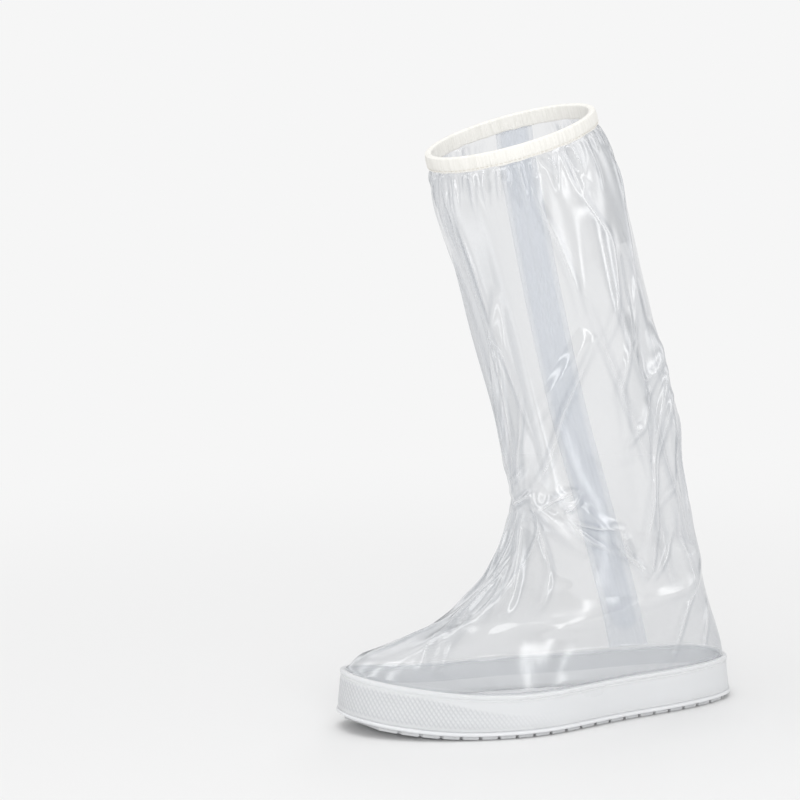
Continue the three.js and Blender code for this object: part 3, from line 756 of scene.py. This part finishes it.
def outsole_finish(name, dark, pale, rough):
    sole = Finish(name)
    cloud = sole.noise(40, 4)
    grit = sole.noise(650, 3)
    colour = sole.colours(cloud, dark, pale)
    normal = sole.bump(grit, 0.00008)
    rough = sole.ranged(grit, 0.3, 0.7, rough, rough + 0.15)
    return sole.finish(sole.principled(colour, rough, normal, IOR=1.5))


def elastic_finish():
    band = Finish("woven_elastic")
    across, along = band.across_and_along()
    cords = band.wave(across, 0.0011)
    threads = band.wave(along, 0.0007)
    weave = band.math("MULTIPLY", cords, threads)
    fuzz = band.noise(1400, 3)
    streaks = band.noise(520, 2, (1, 0.07, 1), "UV")
    height = band.math("ADD", band.scaled(weave, 0.7), band.scaled(fuzz, 0.6))
    height = band.math("ADD", height, band.scaled(streaks, 1.6))
    normal = band.bump(height, 0.00022)
    tone = band.math("ADD", band.scaled(weave, 0.25), band.ranged(streaks, 0.3, 0.6, 0.2, 0.75))
    colour = band.colours(tone, (0.83, 0.818, 0.77), (0.945, 0.93, 0.89))
    rough = band.ranged(fuzz, 0.3, 0.7, 0.7, 0.9)
    sheen = {"Sheen_Weight": 0.2, "Sheen_Roughness": 0.5, "Sheen_Tint": (1, 0.99, 0.96, 1)}
    return band.finish(band.principled(colour, rough, normal, **sheen))


def thread_finish():
    thread = Finish("white_thread")
    across, along = thread.across_and_along()
    twist = thread.wave(thread.math("ADD", across, along), 0.0006)
    colour = thread.colours(twist, (0.58, 0.555, 0.49), (0.76, 0.735, 0.67))
    normal = thread.bump(twist, 0.00008)
    return thread.finish(thread.principled(colour, 0.6, normal))


def placket_finish(name, clear_share):
    milky = Finish(name)
    cloud = milky.noise(24, 4, (1, 1, 0.4))
    fine = milky.noise(500, 2)
    streaks = milky.ranged(milky.noise(210, 2, (1, 0.02, 1), "UV"), 0.3, 0.7, 0, 1)
    welded = milky.value_of("welded")
    tone = milky.math("ADD", milky.scaled(cloud, 0.4), milky.scaled(streaks, 0.6))
    colour = milky.colours(milky.math("MAXIMUM", tone, welded), (0.9, 0.91, 0.93), (0.98, 0.983, 0.988))
    normal = milky.bump(milky.noise(150, 2, (1, 1, 0.4)), 0.00015)
    normal = milky.bump(fine, 0.00003, normal)
    normal = milky.bump(streaks, 0.00014, normal)
    rough = milky.ranged(cloud, 0.3, 0.7, 0.2, 0.34)
    body = milky.principled(colour, rough, normal, IOR=1.53, Coat_Weight=0.4, Coat_Roughness=0.08)
    through = milky.thin("BsdfTranslucent", (0.975, 0.98, 0.985), normal)
    clear = milky.thin("BsdfTransparent", (0.962, 0.972, 0.988))
    opened = milky.math("SUBTRACT", clear_share, milky.scaled(streaks, 0.12))
    share = milky.math("SUBTRACT", opened, milky.scaled(welded, 0.25), clamp=True)
    return milky.finish(milky.shade(share, milky.shade(0.5, body, through), clear))


FILM_PLACES = 384
FILM_ROWS = 255
FILM_SINK = 0.0002


def make_film():
    fine = np.linspace(0, EDGE_ROW, 1200)
    spaced = film_base(math.pi / 2, fine)
    gone, up = lengths_along(spaced), spaced[:, 2]
    # Rows crowd at the ankle and under the binding, where the finest creases are.
    crowding = 1 + 1.1 * hump(up - ANKLE_HEIGHT + 0.006, 0.034, 4)
    crowding += 0.5 * hump(up - NECK_HEIGHT + 0.01, 0.03, 4)
    counted = running_total(np.diff(gone) * crowding[1:])
    rows = np.interp(np.linspace(0, counted[-1], FILM_ROWS), counted, fine)
    angle, row = np.meshgrid(even_turns(FILM_PLACES), rows)
    points, normals = film_base(angle, row), film_normal(angle, row)
    relief, crest_highlight_and_weld, painted_flank_shade = film_relief(angle, row, points, normals)
    points = points + normals * (relief - FILM_SINK)[..., None]
    u = np.linspace(0, 0.4, FILM_PLACES + 1)
    film = skin("film_boot", points, u, np.interp(rows, fine, gone))
    add_value(film, "crest_highlight_and_weld", crest_highlight_and_weld)
    add_value(film, "painted_flank_shade", painted_flank_shade)
    return place_on_frame(film, clear_film_finish(), "clear_film", "upper_film")


def even_angles(section, fine_from, fine, coarse):
    """Angles around a sole section, closer together forward of a share of its length."""
    angles = np.linspace(0, FULL_TURN, 6001)
    line = section_point(section, angles)
    step = mix(coarse, fine, smooth(share_along(line), fine_from - 0.08, fine_from))
    gone = lengths_along(line)
    counted = running_total(np.diff(gone) / step[:-1])
    total = int(counted[-1])
    picked = np.interp(np.arange(total) / total * counted[-1], counted, angles)
    return picked, np.append(np.interp(picked, angles, gone), gone[-1])


KNURL_PITCH = 0.0036
KNURL_DEPTH = 0.00045
KNURL_SLOPE = 0.8
KNURL_START = 0.52
KNURL_STEP = 0.00052
PLAIN_STEP = 0.0012

# The wall's low ridge and groove under its bead, and its flared foot: share of the wall's height,
# half width in the same shares, and rise.
WALL_LINES = [
    (0.835, 0.016, 0.0004),
    (0.862, 0.012, -0.00025),
]
WALL_FLARE = 0.00045
WALL_FLARE_SHARE = 0.07
BEAD_REACH_SHARE = 0.062


def knurl(lengths, share, height):
    """How high small diamonds stand around the toe, fading towards the waist, and how much painted shade
    darkens the lines between them.
    """
    rise, run = height * KNURL_SLOPE, lengths
    first = np.abs(np.sin((run + rise) * math.pi / KNURL_PITCH))
    second = np.abs(np.sin((run - rise) * math.pi / KNURL_PITCH))
    cell = np.minimum(first, 0.3 + 0.7 * second) ** 0.6
    top = mix(0.42, 0.8, smooth(share, 0.6, 0.88))
    level = height / SIDEWALL_HEIGHT
    inside = smooth(level, 0.05, 0.12) * (1 - smooth(level, top - 0.06, top + 0.03))
    shown = inside * smooth(share, 0.46, 0.74)
    return KNURL_DEPTH * cell * shown, (1 - cell) ** 1.2 * shown * mix(0.3, 1, smooth(share, 0.55, 0.85))


def make_sidewall():
    middle = sole_section(SIDEWALL_LEAN / 2, SIDEWALL_FOOT + SIDEWALL_HEIGHT / 2)
    angles, lengths = even_angles(middle, KNURL_START, KNURL_STEP, PLAIN_STEP)
    shares = np.concatenate([np.linspace(0, 0.8, 42), np.linspace(0.812, 0.985, 17)])
    bead = 1 - BEAD_HEIGHT / SIDEWALL_HEIGHT / 2
    outer = BEAD_PROUD * np.clip(1 - ((shares - bead) / BEAD_REACH_SHARE) ** 2, 0, 1) ** 0.6
    outer += WALL_FLARE * (1 - smooth(shares, 0, WALL_FLARE_SHARE))
    for height, reach, rise in WALL_LINES:
        outer += rise * hump(shares - height, reach)
    top_share = [0.997, 1.003, 1.003, 0.995]
    top_proud = [0, -0.0006, -0.0018, -SIDEWALL_THICKNESS - 0.0003]
    down_share = np.linspace(0.93, 0, 6)
    shares = np.concatenate([shares, top_share, down_share])
    proud = np.concatenate([outer, top_proud, np.full(6, -SIDEWALL_THICKNESS)])
    outside = np.arange(len(shares)) < len(outer)
    rings, groove_shade_rings = [], []
    for share, out, bare in zip(shares, proud, outside):
        up = SIDEWALL_FOOT + SIDEWALL_HEIGHT * share
        ring = sole_ring(lean_at(up) - out, up, angles, 1 - share)
        sole_share = share_along(ring)
        shade_in_grooves = 0 * sole_share
        if bare:
            way = np.roll(ring, -1, 0) - np.roll(ring, 1, 0)
            outward = unit(np.stack([way[:, 1], -way[:, 0], 0 * way[:, 0]], -1))
            # The knurl's relief, and the painted shade for its grooves.
            raised, shade_in_grooves = knurl(lengths[:-1], sole_share, share * SIDEWALL_HEIGHT)
            ring = ring + outward * raised[:, None]
        rings.append(ring)
        groove_shade_rings.append(shade_in_grooves)
    v = np.append(shares * SIDEWALL_HEIGHT, 0)
    wall = skin("moulded_sidewall", np.array(rings), lengths, v, looped=True)
    add_value(wall, "painted_groove_shade", np.array(groove_shade_rings))
    return place_on_frame(wall, sidewall_finish(), "sidewall", "sidewall")


WAFFLE_PITCH = 0.009


def sole_ring(inset, up, angles, lowered=1):
    """An outline of the sole, lowered by a share of the toe bumper's rise."""
    ring = section_point(sole_section(inset, up), angles)
    ring[:, 2] -= bumper_at(share_along(ring)) * lowered
    return ring


def make_sole():
    """The plate with its rim, closed above by a foot bed and below by the tread's ground, which is
    painted near black as the shade between the bars.
    """
    count = 480
    angles = even_turns(count)
    foot = TREAD_DEPTH + (PLATE_THICKNESS - RIM_THICKNESS) / 2
    half_round = np.linspace(-math.pi / 2, math.pi / 2, 9)
    profile = [(TREAD_DEPTH, TREAD_INSET / 2), (TREAD_DEPTH + 0.0002, TREAD_INSET / 4)]
    for turn in half_round:
        up = foot + RIM_THICKNESS / 2 * (1 + math.sin(turn))
        profile.append((up, -RIM_PROUD * (0.45 + 0.55 * math.cos(turn) ** 0.7)))
    profile += [(PLATE_TOP - 0.0002, -0.0001), (PLATE_TOP, 0.0004)]
    rings = [sole_ring(inset, up, angles) for up, inset in profile]
    lengths = lengths_along(np.vstack([rings[3], rings[3][:1]]))
    v = np.append([up for up, _ in profile], 0)
    rim = skin("sole_rim", np.array(rings), lengths, v)
    material = outsole_finish("sole_rim", (0.74, 0.75, 0.77), (0.84, 0.85, 0.86), 0.3)
    place_on_frame(rim, material, "outsole")
    # Name, outline, which way it faces, height of its waffle, colours and roughness.
    beds = [
        ("foot_bed", rings[-1], -1, 0.00025, (0.93, 0.935, 0.94), (0.97, 0.972, 0.975), 0.4),
        # The tread's ground is painted near black: painted shade between the tread bars.
        ("tread_ground_painted_shade", rings[0], 1, 0, (0.05, 0.052, 0.055), (0.09, 0.092, 0.095), 0.7),
    ]
    shares = np.linspace(0, 1, 49)
    for name, ring, facing, waffle, dark, pale, rough in beds:
        half = count // 2
        left, right = ring[: half + 1], ring[(-np.arange(half + 1)) % count]
        sheet = mix(left[:, None], right[:, None], shares[None, :, None])
        lattice = np.cos(sheet[..., :2] * FULL_TURN / WAFFLE_PITCH).prod(-1)
        inner = smooth(np.minimum(shares, 1 - shares), 0.03, 0.08)
        sheet[..., 2] += waffle * lattice * inner
        u, v = np.linspace(0, 0.1, 50), np.linspace(0, 0.3, half + 2)
        bed = skin(name, sheet[:, ::facing], u, v, closed=False)
        place_on_frame(bed, outsole_finish(name, dark, pale, rough), "outsole")


def sole_edge(forward, side):
    zero = np.zeros(np.shape(forward))
    section = sole_section(TREAD_INSET, 0)
    turn = bisect(zero, zero + math.pi, lambda a: -section_point(section, a)[..., 1] < forward)
    return section_point(section, side * turn)[..., 0]


def make_tread():
    """Chevron bars with eased lower edges, cut off at the sole's edge."""
    slope = math.tan(math.radians(CHEVRON_ANGLE))
    reach = (BAR_PITCH - GROOVE_WIDTH) / 2
    limit = SOLE_HALF - TREAD_INSET - 0.0005
    count = int((SOLE_HALF - TREAD_INSET - BAR_PITCH / 2) // BAR_PITCH)
    across = np.concatenate([[-1, -0.995, -0.985], np.linspace(-0.96, 0.96, 33), [0.985, 0.995, 1]])
    side = np.where(across < 0, -1, 1)
    bulk = TREAD_DEPTH + PLATE_THICKNESS / 3
    profile = [(-1, bulk), (-1, 0.0006), (-0.93, 0.0002), (-0.86, 0)]
    profile += [(0.86, 0), (0.93, 0.0002), (1, 0.0006), (1, bulk)]
    bars = []
    for bar in range(-count, count + 2):
        lines = []
        for edge, up in profile:
            eased = up + 0.0004 * (np.abs(across) > 0.99) * (up < 0.001)
            ahead = np.clip(bar * BAR_PITCH + edge * reach, -limit, limit)
            place = np.clip(ahead - np.abs(across) * BALL_WIDTH / 2 * slope, -limit, limit)
            share = (place / SOLE_HALF + 1) / 2
            x = mix(-inflare_at(share), sole_edge(place, side), np.abs(across))
            lines.append(np.stack([x, -place, eased + spring_at(share)], -1))
        bars.append(np.array(lines))
    tread = closed_bars("tread_bars", bars)
    material = outsole_finish("tread_bars", (0.56, 0.57, 0.58), (0.70, 0.71, 0.72), 0.45)
    return place_on_frame(tread, material, "outsole", "outsole")


def neck_ring(angles, out=0, up=0):
    """Points around the neck, moved out from the film's outer face and up along its axis."""
    axis = np.array([0, -math.sin(math.radians(NECK_TILT)), math.cos(math.radians(NECK_TILT))])
    point = section_point(NECK_SECTION, angles)
    way = section_point(NECK_SECTION, angles + 0.01) - section_point(NECK_SECTION, angles - 0.01)
    outward = unit(np.cross(way, axis))
    return point + outward * np.asarray(out)[..., None] + axis * np.asarray(up)[..., None]


STITCH_PITCH = 0.0034
STITCH_THICKNESS = 0.00028
STITCH_HEIGHT = 0.0021
STITCH_SIDES = 6
RIB_DEPTH = 0.0002
SLACK_DEPTH = 0.00013


def make_binding():
    count = 960
    angles = even_turns(count)
    lengths = lengths_along(neck_ring(np.append(angles, FULL_TURN)))
    dice = np.random.default_rng(3)
    ribs = np.zeros(count)
    for _ in range(9):
        waves = round(lengths[-1] / dice.uniform(0.0014, 0.0032))
        ribs += dice.uniform(0.4, 1) * np.cos(waves * angles + dice.uniform(0, FULL_TURN))
    ribs *= RIB_DEPTH / 4
    slack = SLACK_DEPTH * sum(np.cos(k * angles + dice.uniform(0, FULL_TURN)) for k in (9, 14, 23, 31))
    outside = SEAT_GAP + BINDING_THICKNESS
    inside = -FILM_THICKNESS - SEAT_GAP - BINDING_THICKNESS
    side_foot, side_height = 0.0009, BINDING_HEIGHT - 0.0024
    profile = []
    for share in np.linspace(0, 1, 15):
        bulge = 0.0005 * math.sin(math.pi * share) - 0.00035 * hump(share - 0.12, 0.045)
        profile.append((outside - 0.0003 + bulge, side_foot + share * side_height, 1))
    middle, half = (outside + inside) / 2, (outside - inside) / 2 - 0.0003
    for turn in np.linspace(0.25, math.pi - 0.25, 9):
        up = BINDING_HEIGHT - 0.0014 + 0.0014 * math.sin(turn)
        profile.append((middle + half * math.cos(turn), up, 0.7))
    for share in np.linspace(1, 0, 10):
        profile.append((inside + 0.0003, side_foot + share * side_height, -1))
    profile += [(inside + 0.0007, 0.00045, 0), (-FILM_THICKNESS - SEAT_GAP - 0.0002, 0.0004, 0)]
    profile += [(-FILM_THICKNESS - SEAT_GAP, BINDING_TURN, 0), (SEAT_GAP, BINDING_TURN, 0)]
    profile += [(SEAT_GAP + 0.0002, 0.0004, 0), (outside - 0.0007, 0.00045, 0.3)]
    rings = []
    for out, up, ribbed in profile:
        low = 1 - smooth(up, 0, BINDING_HEIGHT * 0.6)
        rings.append(neck_ring(angles, out + ribbed * ribs, up + slack * low))
    ups = np.array([up for _, up, _ in profile] + [0])
    band = skin("elastic_binding", np.array(rings), lengths, ups, looped=True)
    place_on_frame(band, elastic_finish(), "elastic_binding", "top_binding")
    stitch_binding(outside, lengths[-1])


def stitch_binding(outside, length):
    """A row of stitches near the binding's lower edge, each a short pinched thread."""
    count = int(length / STITCH_PITCH)
    turns = even_turns(STITCH_SIDES)[:, None, None]
    fine = np.linspace(0, FULL_TURN, 2401)
    gone = lengths_along(neck_ring(fine))
    share = np.linspace(-1, 1, 7)
    out = outside - 0.00028 + 0.00024 * (1 - share**4)
    thick = (STITCH_THICKNESS * (1 - 0.75 * share**6))[:, None]
    bars = []
    for stitch in range(count):
        angle = np.interp((stitch + np.linspace(0.12, 0.88, 7)) * gone[-1] / count, gone, fine)
        line = neck_ring(angle, out, STITCH_HEIGHT)
        outward = unit(neck_ring(angle, out + 0.001, STITCH_HEIGHT) - line)
        upward = unit(neck_ring(angle, out, STITCH_HEIGHT + 0.001) - line)
        bars.append(line + thick * (np.cos(turns) * outward + np.sin(turns) * upward))
    stitches = closed_bars("binding_stitches", bars, rounded=True)
    place_on_frame(stitches, thread_finish(), "elastic_binding")


def placket_rows(foot_height, count):
    """Even rows up the placket's middle line, and how far up it each one is."""
    fine = np.linspace(1, NECK_ROW - 0.02, 1500)
    line = film_base(placket_angle(fine), fine)
    gone = lengths_along(line)
    start = gone[np.searchsorted(fine, np.interp(foot_height, line[:, 2], fine))]
    ends = np.linspace(start, gone[-1], count)
    return np.interp(ends, gone, fine), ends - start


def placket_points(rows, across, lift):
    """Points across the placket's middle line, lifted off the film."""
    middle = placket_angle(rows)
    step = 0.01
    speed = np.linalg.norm(film_base(middle + step, rows) - film_base(middle - step, rows), axis=-1)
    angle = middle[:, None] + across / (speed / (2 * step))[:, None]
    row = np.broadcast_to(rows[:, None], angle.shape)
    return film_base(angle, row) + film_normal(angle, row) * lift[..., None]


def strip_mesh(name, rows, gone, half, shares, low, high, welded):
    """A strip with a top face at heights high and a flat lower face, closed at both ends."""
    across = shares * half[:, None]
    top = placket_points(rows, across, high)
    under = placket_points(rows, across[:, ::-1], np.full(across.shape, low))
    rings = np.concatenate([top, under], axis=1)
    first, last = (np.broadcast_to(end.mean(0), (1, *end.shape)) for end in (rings[0], rings[-1]))
    u = np.concatenate([shares, shares[::-1], shares[:1]]) * half.max()
    v = np.concatenate([[0], gone, gone[-1:], [0]])
    piece = skin(name, np.concatenate([first, rings, last]), u, v)
    welded = np.concatenate([welded, np.zeros(welded.shape)], axis=1)
    add_value(piece, "welded", np.concatenate([welded[:1], welded, welded[-1:]]))
    return piece


WELD_PITCH = 0.0024
WELD_INSET = 0.0014
WELD_RADIUS = 0.0006
WELD_DEPTH = 0.0003
CHANNEL_INSET = 0.0032
CHANNEL_HALF_WIDTH = 0.0005
CHANNEL_DEPTH = 0.00022


def weld_dots(edge, along):
    """Low round dots in a row beside the edge."""
    beside = np.mod(along + WELD_PITCH / 2, WELD_PITCH) - WELD_PITCH / 2
    return np.exp(-(beside**2 + (edge - WELD_INSET) ** 2) / WELD_RADIUS**2)


def across_and_up(shares, half, gone):
    """Each point's way across and up a strip, from shares of its half widths."""
    across = shares * half[:, None]
    return across, np.broadcast_to(gone[:, None], across.shape)


def make_placket():
    rows, gone = placket_rows(SIDEWALL_TOP + PLACKET_CLEARANCE, 620)
    shares = np.concatenate([[-1], np.linspace(-0.99, 0.99, 74), [1]])
    half = mix(PLACKET_FOOT_WIDTH, PLACKET_TOP_WIDTH, rows / NECK_ROW) / 2
    across, along = across_and_up(shares, half, gone)
    edge = half[:, None] - np.abs(across)
    dots = weld_dots(edge, along)
    channel = hump(edge - CHANNEL_INSET, CHANNEL_HALF_WIDTH)
    eased = smooth(edge, -0.0001, 0.0006)
    ripple = np.sin(along * 95 + 1.3) + 0.7 * np.sin(along * 41 + across * 130)
    high = SEAT_GAP + PLACKET_THICKNESS * (0.55 + 0.45 * eased)
    high = high - WELD_DEPTH * dots - CHANNEL_DEPTH * channel
    high = high + 0.00012 * ripple * smooth(edge, 0, 0.004)
    welded = np.clip(dots + channel * 0.6 + hump(edge, 0.0012), 0, 1)
    strip = strip_mesh("placket_strip_sheet", rows, gone, half, shares, SEAT_GAP, high, welded)
    place_on_frame(strip, placket_finish("milky_placket", 0.7), "placket", "placket_strip")


def make_flap():
    rows, gone = placket_rows(SIDEWALL_TOP + FLAP_FOOT_CLEARANCE, 620)
    radius = FLAP_WIDTH / 2
    # The rows at the foot crowd together, so that the round end is smooth.
    round_gone = radius * (1 - np.cos(np.linspace(0.05, math.pi / 2, 40)))
    kept = gone > radius * 1.02
    rows = np.concatenate([np.interp(round_gone, gone, rows), rows[kept]])
    gone = np.concatenate([round_gone, gone[kept]])
    inside = np.clip(gone / radius, 0, 1)
    half = radius * np.sqrt(1 - (1 - inside) ** 2)
    shares = np.concatenate([[-1], np.linspace(-0.985, 0.985, 62), [1]])
    across, along = across_and_up(shares, half, gone)
    to_foot = np.hypot(across, np.minimum(along - radius, 0))
    edge = radius - to_foot
    eased = smooth(edge, -0.0001, 0.0007)
    ridge = FLAP_RIDGE_RISE * np.exp(-2 * (across / FLAP_RIDGE_WIDTH) ** 2)
    ridge = ridge * smooth(along, radius * 0.8, radius * 1.6)
    weld = hump(edge - 0.0016, 0.0005)
    low = SEAT_GAP * 2 + PLACKET_THICKNESS
    ripple = np.sin(along * 77) + 0.6 * np.sin(along * 33 + 2)
    high = low + FLAP_THICKNESS * (0.5 + 0.5 * eased) + ridge - 0.00024 * weld
    high = high + 0.0001 * ripple * smooth(edge, 0, 0.004)
    welded = np.maximum(weld * 0.7, hump(edge, 0.0008))
    flap = strip_mesh("placket_flap_sheet", rows, gone, half, shares, low, high, welded)
    place_on_frame(flap, placket_finish("milky_flap", 0.62), "placket", "placket_flap")


# The camera stands where the photograph's did, and the part is a little right of its middle.
CAMERA_CENTRE = Vector((0, 0, 0.23))
CAMERA_DISTANCE = 2.4
CAMERA_TURN = math.radians(26)
CAMERA_HEIGHT = math.radians(10.8)
FOCAL_LENGTH = 3201.6 / 800 * 36
AIM_LEFT = math.atan(144 / 3201.6)
AIM_UP = math.atan(17.5 / 3201.6)
TO_CAMERA = Vector((math.cos(CAMERA_TURN), -math.sin(CAMERA_TURN), 0)) * math.cos(CAMERA_HEIGHT)
TO_CAMERA.z = math.sin(CAMERA_HEIGHT)
TO_RIGHT = Vector((0, 0, 1)).cross(TO_CAMERA).normalized()
NEARER = Vector((TO_CAMERA.x, TO_CAMERA.y, 0)).normalized()


def make_camera():
    data = bpy.data.cameras.new("camera")
    data.lens = FOCAL_LENGTH
    data.sensor_width = 36
    camera = new_object("camera", data)
    camera.location = CAMERA_CENTRE + TO_CAMERA * CAMERA_DISTANCE
    aim = (-TO_CAMERA).to_track_quat("-Z", "Y").to_matrix()
    camera.rotation_euler = (aim @ Euler((AIM_UP, AIM_LEFT, 0)).to_matrix()).to_euler()
    bpy.context.scene.camera = camera


def place(right, nearer, up):
    return TO_RIGHT * right + NEARER * nearer + Vector((0, 0, up))


LIGHT_AIM = Vector((0, 0, 0.2))


def soft_light(name, spot, size, power, mirrored=True):
    data = bpy.data.lights.new(name, "AREA")
    data.shape = "RECTANGLE"
    data.size, data.size_y = size
    data.energy = power
    light = new_object(name, data)
    light.location = spot
    light.rotation_euler = (LIGHT_AIM - spot).to_track_quat("-Z", "Y").to_euler()
    light.visible_camera = False
    light.visible_glossy = mirrored


def around(degrees, away, up):
    """A place at degrees to the right of the camera, seen from above the part."""
    turn = math.radians(degrees)
    return place(away * math.sin(turn), away * math.cos(turn), up)


def make_lights():
    soft_light("overhead", place(-0.3, 0.35, 1.9), (1.3, 1.3), 10.5)
    soft_light("front_fill", around(9, 2.2, 0.75), (1.3, 1.0), 15, mirrored=False)
    soft_light("back_fill", around(168, 2.2, 0.9), (1.3, 1.0), 8, mirrored=False)


# Tall soft bands of light that the film mirrors: degrees right of the camera, how narrow they
# are, and how bright.
BANDS = [
    (98, 30, 2.6),
    (66, 160, 4.5),
    (38, 420, 4.5),
    (-34, 300, 4),
    (-62, 130, 4),
    (-104, 34, 2.4),
    (-150, 60, 1.4),
    (148, 60, 1.4),
    (180, 12, -0.18),
]


def make_world():
    world = bpy.data.worlds.new("studio")
    world.cycles.sampling_method = "NONE"
    bpy.context.scene.world = world
    sky = Finish(world)
    way = sky.coordinates("Generated")
    level = sky.add("SeparateXYZ", {0: way}).outputs[2]
    flat = sky.vector("NORMALIZE", sky.vector("MULTIPLY", way, (1, 1, 0)))
    glow = sky.ranged(level, -0.1, 0.9, 0.22, 1.0)
    tall = sky.ranged(level, 0.62, 0.92, 1, 0)
    for degrees, narrow, bright in BANDS:
        dot = sky.vector("DOT_PRODUCT", flat, around(degrees, 1, 0), out="Value")
        band = sky.math("POWER", sky.math("MAXIMUM", dot, 0), narrow)
        glow = sky.math("ADD", glow, sky.math("MULTIPLY", sky.scaled(band, bright), tall))
    rays = sky.add("LightPath").outputs
    lit = sky.add("Background", {"Color": (1, 1, 1, 1), "Strength": 0.69})
    seen = sky.add("Background", {"Color": (0.922, 0.922, 0.922, 1)})
    mirrored = sky.add("Background", {"Strength": glow})
    around_part = sky.shade(rays["Is Glossy Ray"], lit, mirrored)
    sky.finish(sky.shade(rays["Is Camera Ray"], around_part, seen), "OutputWorld")


FLOOR_REACH = 6.0


def make_floor():
    """A pale floor that takes on the backdrop's brightness away from the part."""
    angles = even_turns(64)
    circle = np.stack([np.cos(angles), np.sin(angles), 0 * angles], -1)
    rings = [reach * circle - (0, 0, 0.0002) for reach in (0.001, 0.3, 1, FLOOR_REACH)]
    floor = skin("floor", np.array(rings), np.linspace(0, 1, 65), np.linspace(0, 1, 5))
    pale = Finish("pale_floor")
    away = pale.vector("LENGTH", pale.coordinates("Object"), out="Value")
    paint = pale.add("BsdfDiffuse", {"Color": (0.85, 0.85, 0.85, 1)})
    backdrop = pale.add("Emission", {"Color": (0.922, 0.922, 0.922, 1)})
    fade = pale.ranged(away, 0.15, 1.0, 0, 1)
    floor.data.materials.append(pale.finish(pale.shade(fade, paint, backdrop)))
    pale.owner.cycles.emission_sampling = "NONE"


scene = bpy.context.scene
scene.view_settings.view_transform = "Standard"
scene.cycles.transparent_max_bounces = 40
for make in (
    make_camera, make_film, make_sidewall, make_sole, make_tread, make_binding, make_placket, make_flap,
    make_lights, make_world, make_floor,
):
    make()
